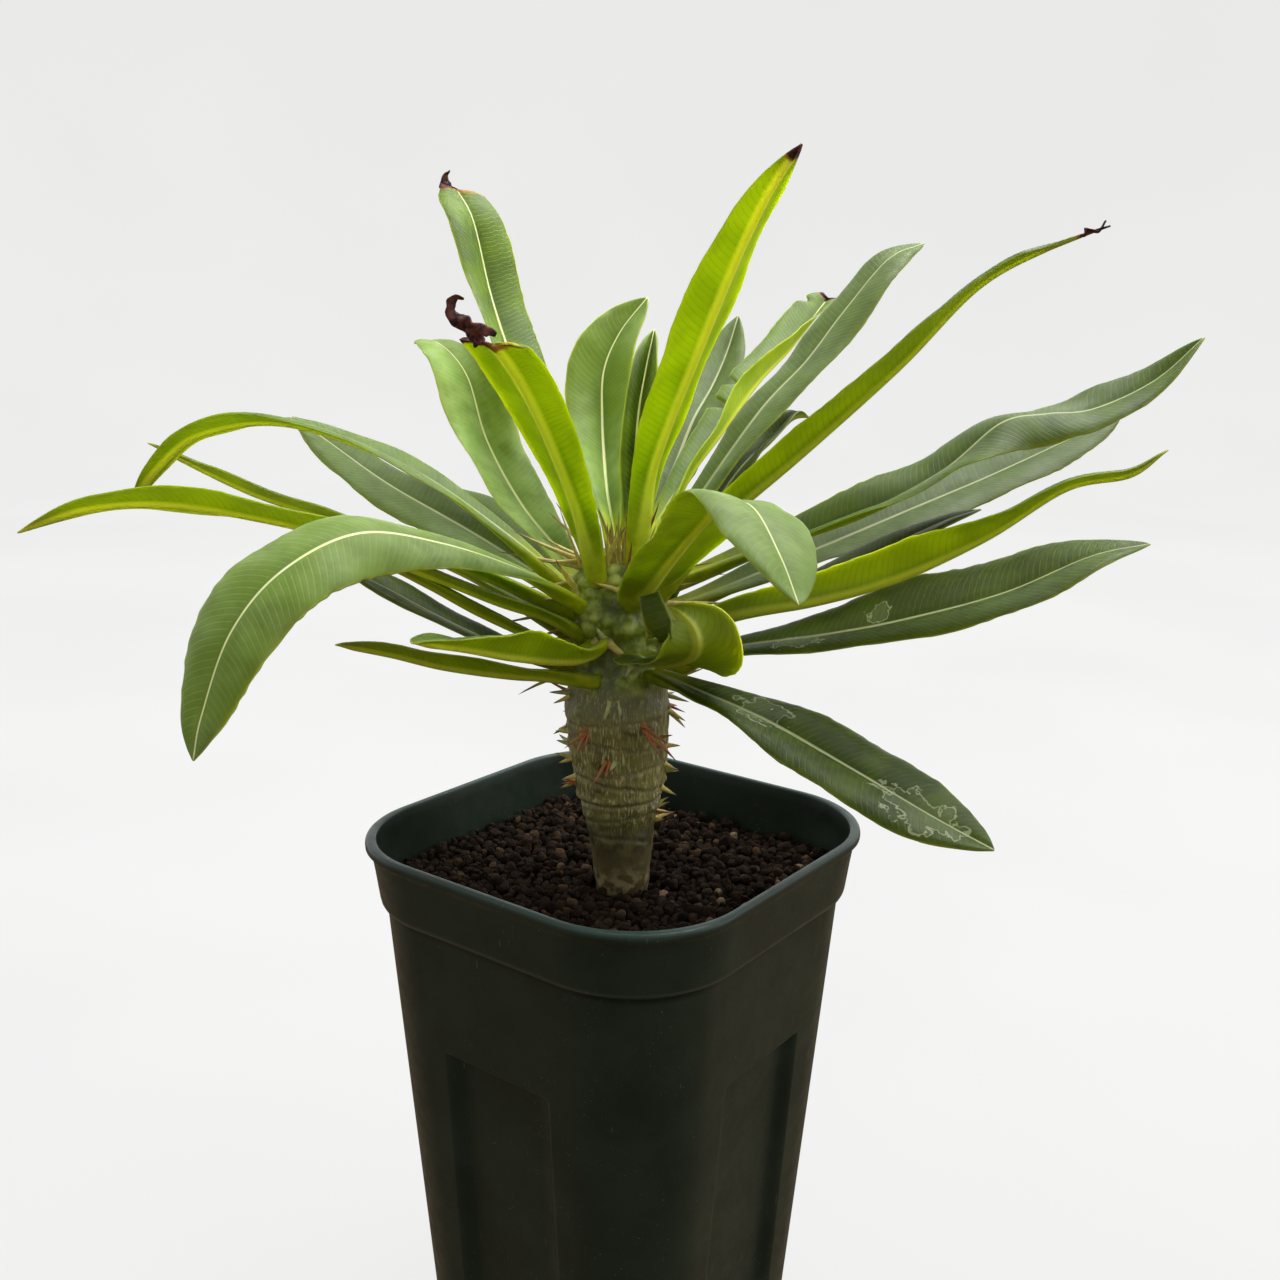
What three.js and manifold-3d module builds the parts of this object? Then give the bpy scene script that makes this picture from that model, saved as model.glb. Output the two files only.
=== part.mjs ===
// Potted Pachypodium menabeum: a square nursery pot filled with granules, a spiny swollen
// trunk, and a crown of long leaves. Millimetres, +Z up, the pot stands on z = 0.
import * as THREE from "three";
import { mergeVertices } from "three/addons/utils/BufferGeometryUtils.js";
import Module from "manifold-3d";

const wasm = await Module();
wasm.setup();

// Pot: square with rounded corners, half sides at three heights.
const POT_HEIGHT = 120;
const COLLAR_HEIGHT = 14;
const RIM_HALF = 45;
const COLLAR_HALF = 42.9;
const BODY_TOP_HALF = 41;
const BASE_HALF = 33.4;
const RIM_CORNER = 24;
const COLLAR_CORNER = 24;
const BODY_CORNER = 20.5;
const BASE_CORNER = 17;
const WALL = 1.6;
const LIP_WIDTH = 1.8;
const LIP_HEIGHT = 2.4;
const FLOOR = 2.5;
const CORNER_STEPS = 6;
const PANEL_TOP = 78;
const PANEL_BOTTOM = 12;
const PANEL_HALF_TOP = 14.2;
const PANEL_HALF_BOTTOM = 14.2;
const PANEL_DEPTH = 2.4;
const PANEL_SLOPE = 3.4;
const DRAIN_RADIUS = 4;
const DRAIN_OFFSET = 19;

// Soil: fills the pot, topped with granules.
const SOIL_TOP = 108;
const CLEARANCE = 0.35;
const GRANULES = 80;

// Trunk: radius at each height, with its ring scars.
const TRUNK_SIDES = 18;
const TRUNK_PROFILE = [
  [82, 2.4], [88, 4.2], [96, 5.4], [106, 6], [113, 6.6], [119, 7], [123, 7.8],
  [127, 9], [131, 9.7], [135, 10.2], [140, 10.7], [145, 11], [149, 11], [152, 10.2],
  [155, 8.9], [158, 8.6], [162, 8.9], [167, 9.4], [171, 9.4], [175, 8.6], [178, 6.8],
  [180, 4.2],
];
const RING_SCARS = [113, 119, 127, 135, 145];
const RING_STEP = 0.5;
const BASE_LEAN = 1.3;
const TRUNK_SPINE_TIERS = [121, 126, 131, 136, 140, 144, 148, 152];
const CUSHION_RADIUS = 3.1;

// Every heading below is counted from the photo's right-hand side; this turns it into the part's frame.
const VIEW_TURN = 37;

// Leaves. heading in degrees; path: reach from the trunk axis, height, sideways drift;
// fold lifts both halves, roll tips the blade, both listed evenly from root to tip. widest is the
// share of the length where the blade is widest, and rise how slowly it widens up to there.
const LEAVES = {
  A: {
    heading: 122, width: 17, fold: [40, 32, 26, 18, 0], roll: [0, 12, 20, 14, 0],
    path: [
      [9, 177, 0], [25, 196, 0.3], [43, 212, 0], [52, 221, -0.5], [61, 233, -0.8],
      [69, 249, -0.6], [75, 256, 0.5], [77, 261, 3],
    ],
  },
  B: {
    heading: 134, width: 20, fold: [20, 15, 12, 4, 0], roll: [0, 4, 8, 4, 0],
    path: [
      [9, 171, 0], [19, 178, 0], [32, 187, 0], [44, 200, 0], [51, 214, 0],
      [60, 221, 1], [68, 221, 2],
    ],
  },
  C: {
    heading: 240, width: 14, fold: [20, 12, 8, 8, 15], roll: [0, -5, -5, 8, 20],
    path: [
      [8, 177, 0], [11, 183, 0], [21, 199, 0], [30, 211, 0], [39, 220, 0],
      [46, 226, -2], [50, 231, -6],
    ],
  },
  D: {
    heading: 94, width: 18, fold: [60, 52, 40, 30, 22], roll: [0, -4, -10, -20, -25],
    path: [
      [7, 180, 0], [18, 189, 1.5], [30, 195, 1.8], [40, 204, 2], [46, 215, 1.5],
      [50, 224, -2.5], [53, 232, -9],
    ],
  },
  E: {
    heading: 80, width: 9, fold: [50, 55, 60], roll: [5, 5, 5],
    path: [
      [4, 182, -2], [8, 194, -1.5], [12, 207, -1.5], [17, 216, -2], [25, 225, -2.5],
    ],
  },
  F: {
    heading: 300, width: 15.5, fold: [35, 20, 20, 20, 15], roll: [10, 16, 18, 18, 15],
    path: [
      [6, 180, 0], [11, 195, 0], [18, 206, -0.5], [28, 220, -0.5], [39, 237, 0.5],
      [47, 248, 1.5], [53, 255.5, 3.5],
    ],
  },
  G: {
    heading: 71, width: 14, fold: [30, 20, 15, 20, 30], roll: [0, 0, 0, 5, 10],
    path: [
      [9, 172, 0], [26, 187, 0], [38, 195, 0], [51, 204, 0], [66, 211, 0],
      [79, 219, 0], [89, 228, 0],
    ],
  },
  H: {
    heading: 59, width: 14, fold: [30, 30, 42, 25, 30], roll: [-15, -15, -16, 0, 12],
    path: [
      [9, 180, 0], [28, 193.5, 0], [43, 202, 0], [62, 213, 0], [80, 221, 0],
      [104, 234, 0],
    ],
  },
  I: {
    heading: 36, width: 16, fold: [20, 6, 0, -4, 0], roll: [-5, -5, -3, 0, 15],
    path: [
      [9, 176, 0], [19, 188.5, 0], [37, 208, 0], [50, 218.5, 0], [61, 229.5, 0],
      [74, 241, 0], [85.5, 245, 0],
    ],
  },
  J: {
    heading: 48, width: 10, fold: [30, 25, 25, 40, 70], roll: [0, 0, 0, 0, 0],
    path: [
      [10, 162, 0], [26, 182, 0], [39, 194, 0], [50, 200, 0], [59, 205, 0],
      [66, 205, 0],
    ],
  },
  K: {
    heading: 336, width: 17, fold: [40, 34, 23, 11, 10], roll: [-20, -16, -4, 4, 3],
    path: [
      [8, 172, 0], [22, 188, 0], [38, 202.5, 0], [56, 219.5, 0], [69, 233.5, 0],
      [80, 240, 0], [91, 244, 0],
    ],
  },
  L: {
    heading: 7, width: 18, fold: [30, 26, 38, 16, -26, 10, 25], roll: [0, 6, 18, 6, 18, 20, 18],
    path: [
      [10, 174, 0], [30, 181, 0], [51, 188, 0], [68, 197, 0], [80, 207, 0],
      [90, 209, 0], [100, 210, 0], [113, 216, 0], [123, 225, 0],
    ],
  },
  M: {
    heading: 24, width: 19, fold: [25, 10, 6, 5, 0], roll: [5, 14, 14, 16, 16],
    path: [
      [10, 168, 0], [24, 171, 0], [50, 179, 0], [72, 186, 0], [94, 193, 0],
      [122, 203, 0], [131, 207, 0],
    ],
  },
  N: {
    heading: 344, width: 16, fold: [40, 50, 42, 14, 20], roll: [-20, -42, -32, -10, -8],
    path: [
      [10, 165, 0], [24, 169, 0], [40, 172.5, 0], [57, 178.6, 0], [73, 187.6, 0],
      [87, 197.8, 0], [98, 200.8, 0], [104, 205.6, 0],
    ],
  },
  N2: {
    heading: 7, width: 11, fold: [20, 12, 8, 5, 5], roll: [5, 8, 10, 10, 5],
    path: [
      [10, 161, 0], [26, 168, 0], [38, 172, 0], [49, 177, 0], [68, 186, 0],
      [77, 189, 0],
    ],
  },
  O: {
    heading: 352, width: 22, fold: [10, 5, 16, 12, 5], roll: [5, 10, 22, 20, 10],
    path: [
      [10, 156, 0], [23, 161, 0], [44, 165, 0], [60, 169, 0], [78, 175, 0],
      [94, 183, 0], [105, 186, 0],
    ],
  },
  P: {
    heading: 289, width: 20.5, rise: 0.85, fold: [20, 8, 0, -2, 0], roll: [0, 3, 12, -16, -20],
    path: [
      [8, 172, 0], [24, 180, 0], [42, 191, 0], [56, 198, 0], [68, 199, 0],
      [79, 193, 0], [86, 187, 0],
    ],
  },
  Q: {
    heading: 320, width: 18, fold: [20, 12, 8, 4, 4], roll: [0, 6, 14, 18, 20],
    path: [
      [9, 157, 0], [20, 155, 0], [38, 152, 0], [58, 146.5, 0], [75, 141.5, 0],
      [87, 138.5, 0],
    ],
  },
  R: {
    heading: 294, width: 24, widest: 0.45, fold: [15, 5, -6, -12, -20], roll: [0, -6, -12, -6, 0],
    path: [
      [9, 161, 0], [16, 160.8, 0.5], [23, 162, 1.5], [29, 164.4, 2.5],
      [32, 167.4, 2.5], [31, 170.4, 2], [28, 172.5, 0.5], [25, 173.5, -1],
    ],
  },
  S: {
    heading: 221, width: 19.5, fold: [20, -4, -16, -4, 0], roll: [0, -15, -26, -22, -30],
    path: [
      [9, 171, 0], [25, 179.5, 0], [43, 186.5, 0], [60, 190, 0], [75, 185, 0],
      [85, 175.5, 0], [91, 162, 0], [93, 154.5, 0],
    ],
  },
  T: {
    heading: 176, width: 14, fold: [25, 14, 10, 14, 20], roll: [0, -5, 0, 14, 22],
    path: [
      [10, 173, 0], [24, 184, 0], [40, 195, 0], [56, 202.3, 0], [72, 205.7, 0],
      [88, 202.6, 0], [97, 195.5, 0], [103.5, 187.5, 0],
    ],
  },
  U: {
    heading: 191, width: 15, fold: [20, 14, 15, 16, 16], roll: [10, 13, 22, 28, 24],
    path: [
      [10, 169, 0], [29, 177, 0], [48, 182.3, 0], [68, 187.8, 0], [88, 191.4, 0],
      [103, 190.8, 0], [116, 186.6, 0],
    ],
  },
  U2: {
    heading: 164, width: 13, fold: [20, 15, 14, 14, 14], roll: [10, 15, 20, 28, 30],
    path: [
      [10, 163, 0], [30, 172, 0], [48, 178.6, 0], [66, 183.8, 0], [86, 188.8, 0],
      [111, 198.6, 0],
    ],
  },
  V: {
    heading: 151, width: 18, fold: [20, 5, 2, 0, 5], roll: [-5, -8, -12, -6, 0],
    path: [
      [9, 167, 0], [19, 173, 0], [37, 181, 0], [60, 190, 0], [78, 199, 0],
      [88, 204, 0],
    ],
  },
  W: {
    heading: 124, width: 12, fold: [20, 20, 18, 15, 15], roll: [0, 0, 0, 0, 0],
    path: [
      [10, 165, 0], [25, 169, 0], [47, 177, 0], [62, 182, 0], [80, 185, 0],
    ],
  },
  X: {
    heading: 180, width: 13, fold: [25, 15, 10, 10, 10], roll: [0, -5, -5, -5, -5],
    path: [
      [10, 157, 0], [21, 158.5, 0], [31, 163, 0], [39, 167, 0], [50, 173, 0],
      [62, 179, 0],
    ],
  },
  Y: {
    heading: 196, width: 11, fold: [20, 15, 15], roll: [10, 10, 10],
    path: [
      [9, 160, 0], [17, 163, 0], [29, 169, 0], [39, 175, 0], [50, 181, 0],
      [60, 185, 0],
    ],
  },
  Z1: {
    heading: 211, width: 12, fold: [20, 15, 15], roll: [5, 5, 5],
    path: [
      [9, 165, 0], [15, 168, 0], [26, 172, 0], [37, 177, 0], [46, 181, 0],
      [56, 185, 0],
    ],
  },
  Z2: {
    heading: 190, width: 11, fold: [25, 24, 24, 22, 20], roll: [20, 27, 27, 25, 20],
    path: [
      [7, 156, 7], [14, 156, 6], [22, 155.5, 3], [36, 157, 0], [47, 160, 0],
      [58, 162.5, 0],
    ],
  },
  AA: {
    heading: 238, width: 16, fold: [30, 33, 34, 24, 20], roll: [10, 18, 18, 8, 5],
    path: [
      [8, 164, 1], [13, 162, 1], [20, 161.5, 0], [36, 165.5, 0], [50, 170, 0],
      [64, 174, 0],
    ],
  },
};
const STEM_WIDTH = 3.8;
const STEM_THICKNESS = 2.2;
const BLADE_THICKNESS = 0.8;
const RIB_DEPTH = 0.9;
const WIDEST_AT = 0.6;
const RISE_POWER = 1.35;
const EDGE_WAVE = 0.8;
const WAVE_LENGTH = 27;
const ROW_SPACING = 9;
const BLADE_COLUMNS = [-1, -0.3, 0, 0.3, 1];

const DEGREE = Math.PI / 180;

function seededRandom(seed) {
  let state = seed >>> 0;
  return () => {
    state = (state + 0x6d2b79f5) >>> 0;
    let mixed = Math.imul(state ^ (state >>> 15), 1 | state);
    mixed = (mixed + Math.imul(mixed ^ (mixed >>> 7), 61 | mixed)) ^ mixed;
    return ((mixed ^ (mixed >>> 14)) >>> 0) / 4294967296;
  };
}

function toSolid(geometry) {
  const bare = geometry.clone();
  bare.deleteAttribute("normal");
  bare.deleteAttribute("uv");
  const merged = mergeVertices(bare, 1e-4);
  return new wasm.Manifold(
    new wasm.Mesh({
      numProp: 3,
      vertProperties: new Float32Array(merged.attributes.position.array),
      triVerts: new Uint32Array(merged.index.array),
    }),
  );
}

function toGeometry(solid) {
  const mesh = solid.getMesh();
  const geometry = new THREE.BufferGeometry();
  geometry.setAttribute("position", new THREE.BufferAttribute(new Float32Array(mesh.vertProperties), 3));
  geometry.setIndex(new THREE.BufferAttribute(new Uint32Array(mesh.triVerts), 1));
  geometry.computeVertexNormals();
  return geometry;
}

// A closed skin over rings of equal count, each ring listed counterclockwise about the way the rings advance.
function loft(rings) {
  const count = rings[0].length;
  const points = rings.flat();
  const faces = [];
  for (let i = 0; i + 1 < rings.length; i++) {
    for (let j = 0; j < count; j++) {
      const a = i * count + j;
      const b = i * count + ((j + 1) % count);
      faces.push(a, b, b + count, a, b + count, a + count);
    }
  }
  const centreOf = (ring) => ring.reduce((sum, p) => sum.add(p), new THREE.Vector3()).divideScalar(count);
  const first = points.push(centreOf(rings[0])) - 1;
  const last = points.push(centreOf(rings[rings.length - 1])) - 1;
  const top = (rings.length - 1) * count;
  for (let j = 0; j < count; j++) {
    const next = (j + 1) % count;
    faces.push(first, next, j, last, top + j, top + next);
  }
  const geometry = new THREE.BufferGeometry().setFromPoints(points);
  geometry.setIndex(faces);
  return geometry;
}

function roundedSquare(half, corner, z) {
  const ring = [];
  for (let quarter = 0; quarter < 4; quarter++) {
    const towards = (quarter + 0.5) * 90 * DEGREE;
    const reach = (half - corner) * Math.SQRT2;
    const cx = reach * Math.cos(towards);
    const cy = reach * Math.sin(towards);
    for (let step = 0; step <= CORNER_STEPS; step++) {
      const angle = (quarter + step / CORNER_STEPS) * 90 * DEGREE;
      ring.push(new THREE.Vector3(cx + corner * Math.cos(angle), cy + corner * Math.sin(angle), z));
    }
  }
  return ring;
}

const BODY_SLOPE = (BODY_TOP_HALF - BASE_HALF) / (POT_HEIGHT - COLLAR_HEIGHT);
const bodyHalf = (z) => BASE_HALF + BODY_SLOPE * z;

// A panel-shaped block on the +X face: floor set back by depth, flanks sloping out past the face.
function panelBlock(grow) {
  const levels = [
    [PANEL_BOTTOM - grow, PANEL_HALF_BOTTOM],
    [PANEL_TOP + grow, PANEL_HALF_TOP],
  ];
  const out = 2;
  return loft(
    levels.map(([z, half]) => {
      const face = bodyHalf(z);
      const flank = (PANEL_SLOPE * (PANEL_DEPTH + out)) / PANEL_DEPTH;
      const inner = half - PANEL_SLOPE + grow;
      const floor = face - PANEL_DEPTH - grow;
      return [
        new THREE.Vector3(floor, -inner, z),
        new THREE.Vector3(face + out, -(inner + flank), z),
        new THREE.Vector3(face + out, inner + flank, z),
        new THREE.Vector3(floor, inner, z),
      ];
    }),
  );
}

function turned(geometry, degrees) {
  return geometry.clone().rotateZ(degrees * DEGREE);
}

function potInside(gap) {
  const inset = WALL + gap;
  const shoulder = POT_HEIGHT - COLLAR_HEIGHT;
  let inside = toSolid(
    loft([
      roundedSquare(bodyHalf(FLOOR) - inset, BASE_CORNER - inset, FLOOR + gap),
      roundedSquare(bodyHalf(shoulder) - inset, BODY_CORNER - inset, shoulder - 1.5),
      roundedSquare(COLLAR_HALF - inset, COLLAR_CORNER - inset, shoulder + 1),
      roundedSquare(RIM_HALF - LIP_WIDTH - gap, RIM_CORNER - LIP_WIDTH - gap, POT_HEIGHT + 1),
    ]),
  );
  for (const side of [0, 90, 180, 270]) {
    inside = inside.subtract(toSolid(turned(panelBlock(inset), side)));
  }
  return inside;
}

function makePot() {
  let pot = toSolid(
    loft([
      roundedSquare(BASE_HALF - 1, BASE_CORNER - 1, 0),
      roundedSquare(bodyHalf(1.5), BASE_CORNER, 1.5),
      roundedSquare(BODY_TOP_HALF, BODY_CORNER, POT_HEIGHT - COLLAR_HEIGHT - 0.4),
      roundedSquare(COLLAR_HALF, COLLAR_CORNER, POT_HEIGHT - COLLAR_HEIGHT),
      roundedSquare(RIM_HALF - 0.9, RIM_CORNER - 0.9, POT_HEIGHT - LIP_HEIGHT),
      roundedSquare(RIM_HALF, RIM_CORNER, POT_HEIGHT - LIP_HEIGHT * 0.7),
      roundedSquare(RIM_HALF, RIM_CORNER, POT_HEIGHT - 0.7),
      roundedSquare(RIM_HALF - 0.7, RIM_CORNER - 0.7, POT_HEIGHT),
    ]),
  );
  for (const side of [0, 90, 180, 270]) {
    pot = pot.subtract(toSolid(turned(panelBlock(0), side)));
    const drain = new THREE.CylinderGeometry(DRAIN_RADIUS, DRAIN_RADIUS, FLOOR + 4, 12);
    drain.rotateX(90 * DEGREE).translate(DRAIN_OFFSET, DRAIN_OFFSET, FLOOR / 2);
    pot = pot.subtract(toSolid(turned(drain, side)));
  }
  return pot.subtract(potInside(0));
}

// Where the leaning stem's axis stands at a height.
function axisAt(z) {
  const lean = BASE_LEAN * THREE.MathUtils.clamp((150 - z) / 43, 0, 1);
  return new THREE.Vector3(lean * Math.cos(VIEW_TURN * DEGREE), lean * Math.sin(VIEW_TURN * DEGREE), z);
}

function stemRing(radius, z, uneven, random) {
  const ring = [];
  for (let side = 0; side < TRUNK_SIDES; side++) {
    const angle = (side / TRUNK_SIDES) * 2 * Math.PI;
    const r = radius * (1 + uneven * (random() - 0.5));
    ring.push(axisAt(z).add(new THREE.Vector3(r * Math.cos(angle), r * Math.sin(angle), 0)));
  }
  return ring;
}

function trunkCore(random) {
  const rings = [];
  for (const [z, radius] of TRUNK_PROFILE) {
    if (RING_SCARS.includes(z)) {
      rings.push(stemRing(radius + RING_STEP * 0.4, z - 1, 0.03, random));
      rings.push(stemRing(radius - RING_STEP, z, 0.04, random));
      rings.push(stemRing(radius + RING_STEP * 0.6, z + 1, 0.03, random));
    } else {
      rings.push(stemRing(radius, z, 0.05, random));
    }
  }
  return toSolid(loft(rings));
}

function trunkRadius(z) {
  const above = TRUNK_PROFILE.findIndex(([height]) => height >= z);
  const [z0, r0] = TRUNK_PROFILE[above - 1];
  const [z1, r1] = TRUNK_PROFILE[above];
  return THREE.MathUtils.mapLinear(z, z0, z1, r0, r1);
}

// A spine: a slender three-sided cone standing on root, its foot sunk by a few tenths.
function spine(root, direction, length, thickness) {
  const cone = new THREE.ConeGeometry(thickness, length, 3, 1);
  cone.translate(0, length / 2, 0);
  cone.applyQuaternion(new THREE.Quaternion().setFromUnitVectors(new THREE.Vector3(0, 1, 0), direction));
  return cone.translate(root.x, root.y, root.z);
}

// A value list spread evenly from root to tip, eased between its entries.
function along(values, t) {
  const place = Math.min(t, 0.9999) * (values.length - 1);
  const index = Math.floor(place);
  const eased = THREE.MathUtils.smoothstep(place - index, 0, 1);
  return THREE.MathUtils.lerp(values[index], values[index + 1], eased);
}

function leafCurve(leaf) {
  const heading = (leaf.heading + VIEW_TURN) * DEGREE;
  const points = leaf.path.map(
    ([reach, height, drift]) =>
      new THREE.Vector3(
        reach * Math.cos(heading) - drift * Math.sin(heading),
        reach * Math.sin(heading) + drift * Math.cos(heading),
        height,
      ),
  );
  return new THREE.CatmullRomCurve3(points, false, "catmullrom", 0.5);
}

// The frame of a leaf at t: middle, the way it grows, its left side and its upper side.
function leafFrame(leaf, curve, t) {
  const heading = (leaf.heading + VIEW_TURN) * DEGREE;
  const middle = curve.getPointAt(t);
  const forward = curve.getTangentAt(t);
  const level = new THREE.Vector3(-Math.sin(heading), Math.cos(heading), 0);
  const left = level.addScaledVector(forward, -level.dot(forward)).normalize();
  const roll = along(leaf.roll, t) * DEGREE;
  left.applyAxisAngle(forward, roll);
  return { middle, forward, left, up: new THREE.Vector3().crossVectors(forward, left) };
}

function halfWidth(leaf, t) {
  const stem = STEM_WIDTH / leaf.width;
  const widest = leaf.widest ?? WIDEST_AT;
  const share =
    t < widest
      ? stem + (1 - stem) * Math.pow(Math.sin(((t / widest) * Math.PI) / 2), leaf.rise ?? RISE_POWER)
      : 1 - Math.pow((t - widest) / (1 - widest), 2.3);
  return Math.max((leaf.width / 2) * share, 0.5);
}

// Upper and lower points across the blade at t.
function bladeRow(leaf, curve, t, length) {
  const { middle, left, up } = leafFrame(leaf, curve, t);
  const half = halfWidth(leaf, t);
  const fold = along(leaf.fold, t) * DEGREE;
  const thinning = THREE.MathUtils.smoothstep(t, 0, 0.3);
  const thickness = THREE.MathUtils.lerp(STEM_THICKNESS, BLADE_THICKNESS, thinning);
  const fade = THREE.MathUtils.smoothstep(t, 0.1, 0.35) * THREE.MathUtils.smoothstep(1 - t, 0, 0.2);
  const upper = [];
  const lower = [];
  for (const column of BLADE_COLUMNS) {
    const side = Math.sign(column);
    const turns = (t * length) / WAVE_LENGTH + (side > 0 ? 0.2 : 0.65) + leaf.heading / 90;
    const wave = Math.abs(column) === 1 ? EDGE_WAVE * fade * Math.sin(turns * 2 * Math.PI) : 0;
    const across = left.clone().multiplyScalar(side * Math.cos(fold)).addScaledVector(up, Math.sin(fold));
    const outward = up.clone().multiplyScalar(Math.cos(fold)).addScaledVector(left, -side * Math.sin(fold));
    const point = middle.clone().addScaledVector(across, half * Math.abs(column));
    point.addScaledVector(outward, wave);
    const depth = side === 0 ? thickness + RIB_DEPTH * (1 - 0.6 * t) : thickness;
    upper.push(point);
    lower.push(point.clone().addScaledVector(side === 0 ? up : outward, -depth));
  }
  return { upper, lower };
}

function makeLeaf(leaf) {
  const curve = leafCurve(leaf);
  const length = curve.getLength();
  const rows = Math.max(6, Math.round(length / ROW_SPACING));
  const across = BLADE_COLUMNS.length;
  const points = [];
  for (let row = 0; row <= rows; row++) {
    const { upper, lower } = bladeRow(leaf, curve, row / rows, length);
    points.push(...upper, ...lower);
  }
  const faces = [];
  const quad = (a, b, c, d) => faces.push(a, b, c, a, c, d);
  const stride = 2 * across;
  for (let row = 0; row < rows; row++) {
    const here = row * stride;
    const next = here + stride;
    for (let j = 0; j + 1 < across; j++) {
      quad(here + j, next + j, next + j + 1, here + j + 1);
      faces.push(here + across + j, next + across + j + 1, next + across + j);
      faces.push(here + across + j, here + across + j + 1, next + across + j + 1);
    }
    quad(here, here + across, next + across, next);
    const edge = across - 1;
    quad(here + edge, next + edge, next + across + edge, here + across + edge);
  }
  const tip = rows * stride;
  for (let j = 0; j + 1 < across; j++) {
    quad(j, j + 1, across + j + 1, across + j);
    quad(tip + j, tip + across + j, tip + across + j + 1, tip + j + 1);
  }
  const geometry = new THREE.BufferGeometry().setFromPoints(points);
  geometry.setIndex(faces);
  return geometry;
}

// The hollow in the crown that a leaf's root stands in, a clearance wider than the root all round.
function rootSocket(leaf) {
  const curve = leafCurve(leaf);
  const length = curve.getLength();
  const reach = 4;
  const rings = [0, reach / length].map((t) => {
    const { middle, forward, left, up } = leafFrame(leaf, curve, t);
    const { upper, lower } = bladeRow(leaf, curve, t, length);
    const spread = [...upper, ...lower].map((p) => p.clone().sub(middle));
    const side = Math.max(...spread.map((p) => Math.abs(p.dot(left)))) + CLEARANCE;
    const top = Math.max(...spread.map((p) => p.dot(up))) + CLEARANCE;
    const bottom = Math.min(...spread.map((p) => p.dot(up))) - CLEARANCE;
    const centre = middle.clone().addScaledVector(forward, t === 0 ? -CLEARANCE : 0);
    return [[-side, top], [-side, bottom], [side, bottom], [side, top]].map(([x, y]) =>
      centre.clone().addScaledVector(left, x).addScaledVector(up, y),
    );
  });
  return toSolid(loft(rings));
}

const random = seededRandom(7);
const leafGeometries = Object.fromEntries(Object.entries(LEAVES).map(([key, leaf]) => [key, makeLeaf(leaf)]));
const leafSolids = Object.values(leafGeometries).map(toSolid);

// Tries a spine at growing turns away from its own way until it stands clear of every leaf.
function clearSpine(root, direction, length, thickness, bendAxis) {
  for (const bend of [0, 10, -10, 20, -20, 32, -32, 45, -45]) {
    for (const share of [1, 0.75, 0.5]) {
      const way = direction.clone().applyAxisAngle(bendAxis, bend * DEGREE);
      const stout = toSolid(spine(root, way, length * share + CLEARANCE, thickness + CLEARANCE));
      if (leafSolids.every((leaf) => leaf.intersect(stout).isEmpty())) {
        return toSolid(spine(root, way, length * share, thickness));
      }
    }
  }
  return null;
}

function makeTrunk() {
  const pieces = [trunkCore(random)];
  const spines = [];
  for (const leaf of Object.values(LEAVES)) {
    const curve = leafCurve(leaf);
    const { middle, forward, left } = leafFrame(leaf, curve, 0);
    const inward = new THREE.Vector3(0, 0, Math.min(middle.z, 172)).sub(middle).setZ(0).normalize();
    const cushion = new THREE.IcosahedronGeometry(CUSHION_RADIUS, 0);
    const centre = middle.clone().addScaledVector(inward, 1.6);
    cushion.scale(1, 1, 1.15).translate(centre.x, centre.y, centre.z);
    pieces.push(toSolid(cushion));
    for (const side of [-1, 1]) {
      const root = centre.clone().addScaledVector(left, side * 2);
      const way = forward.clone().multiplyScalar(0.5).addScaledVector(left, side * (0.7 + 0.3 * random()));
      way.addScaledVector(inward, -0.5).add(new THREE.Vector3(0, 0, 0.2 + 0.5 * random())).normalize();
      spines.push(clearSpine(root, way, 12 + 4 * random(), 0.8, forward));
    }
  }
  for (const [tier, z] of TRUNK_SPINE_TIERS.entries()) {
    const places = z < 130 ? 3 : 5;
    for (let place = 0; place < places; place++) {
      const angle = ((place + 0.5 * (tier % 2) + 0.5 * random()) / places) * 2 * Math.PI;
      const outward = new THREE.Vector3(Math.cos(angle), Math.sin(angle), 0);
      const root = axisAt(z).addScaledVector(outward, trunkRadius(z) - 0.9);
      const sideways = new THREE.Vector3(-Math.sin(angle), Math.cos(angle), 0);
      for (const side of [-1, 1]) {
        const way = outward.clone().addScaledVector(sideways, side * (0.35 + 0.4 * random()));
        way.z = 0.1 + 0.7 * random();
        const length = z < 130 ? 3.5 + 2 * random() : 5 + 4 * random();
        spines.push(clearSpine(root, way.normalize(), length, 0.75, outward));
      }
    }
  }
  let trunk = wasm.Manifold.union([...pieces, ...spines.filter(Boolean)]);
  for (const leaf of Object.values(LEAVES)) {
    trunk = trunk.subtract(rootSocket(leaf));
  }
  return trunk.decompose().sort((a, b) => b.volume() - a.volume())[0];
}

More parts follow.
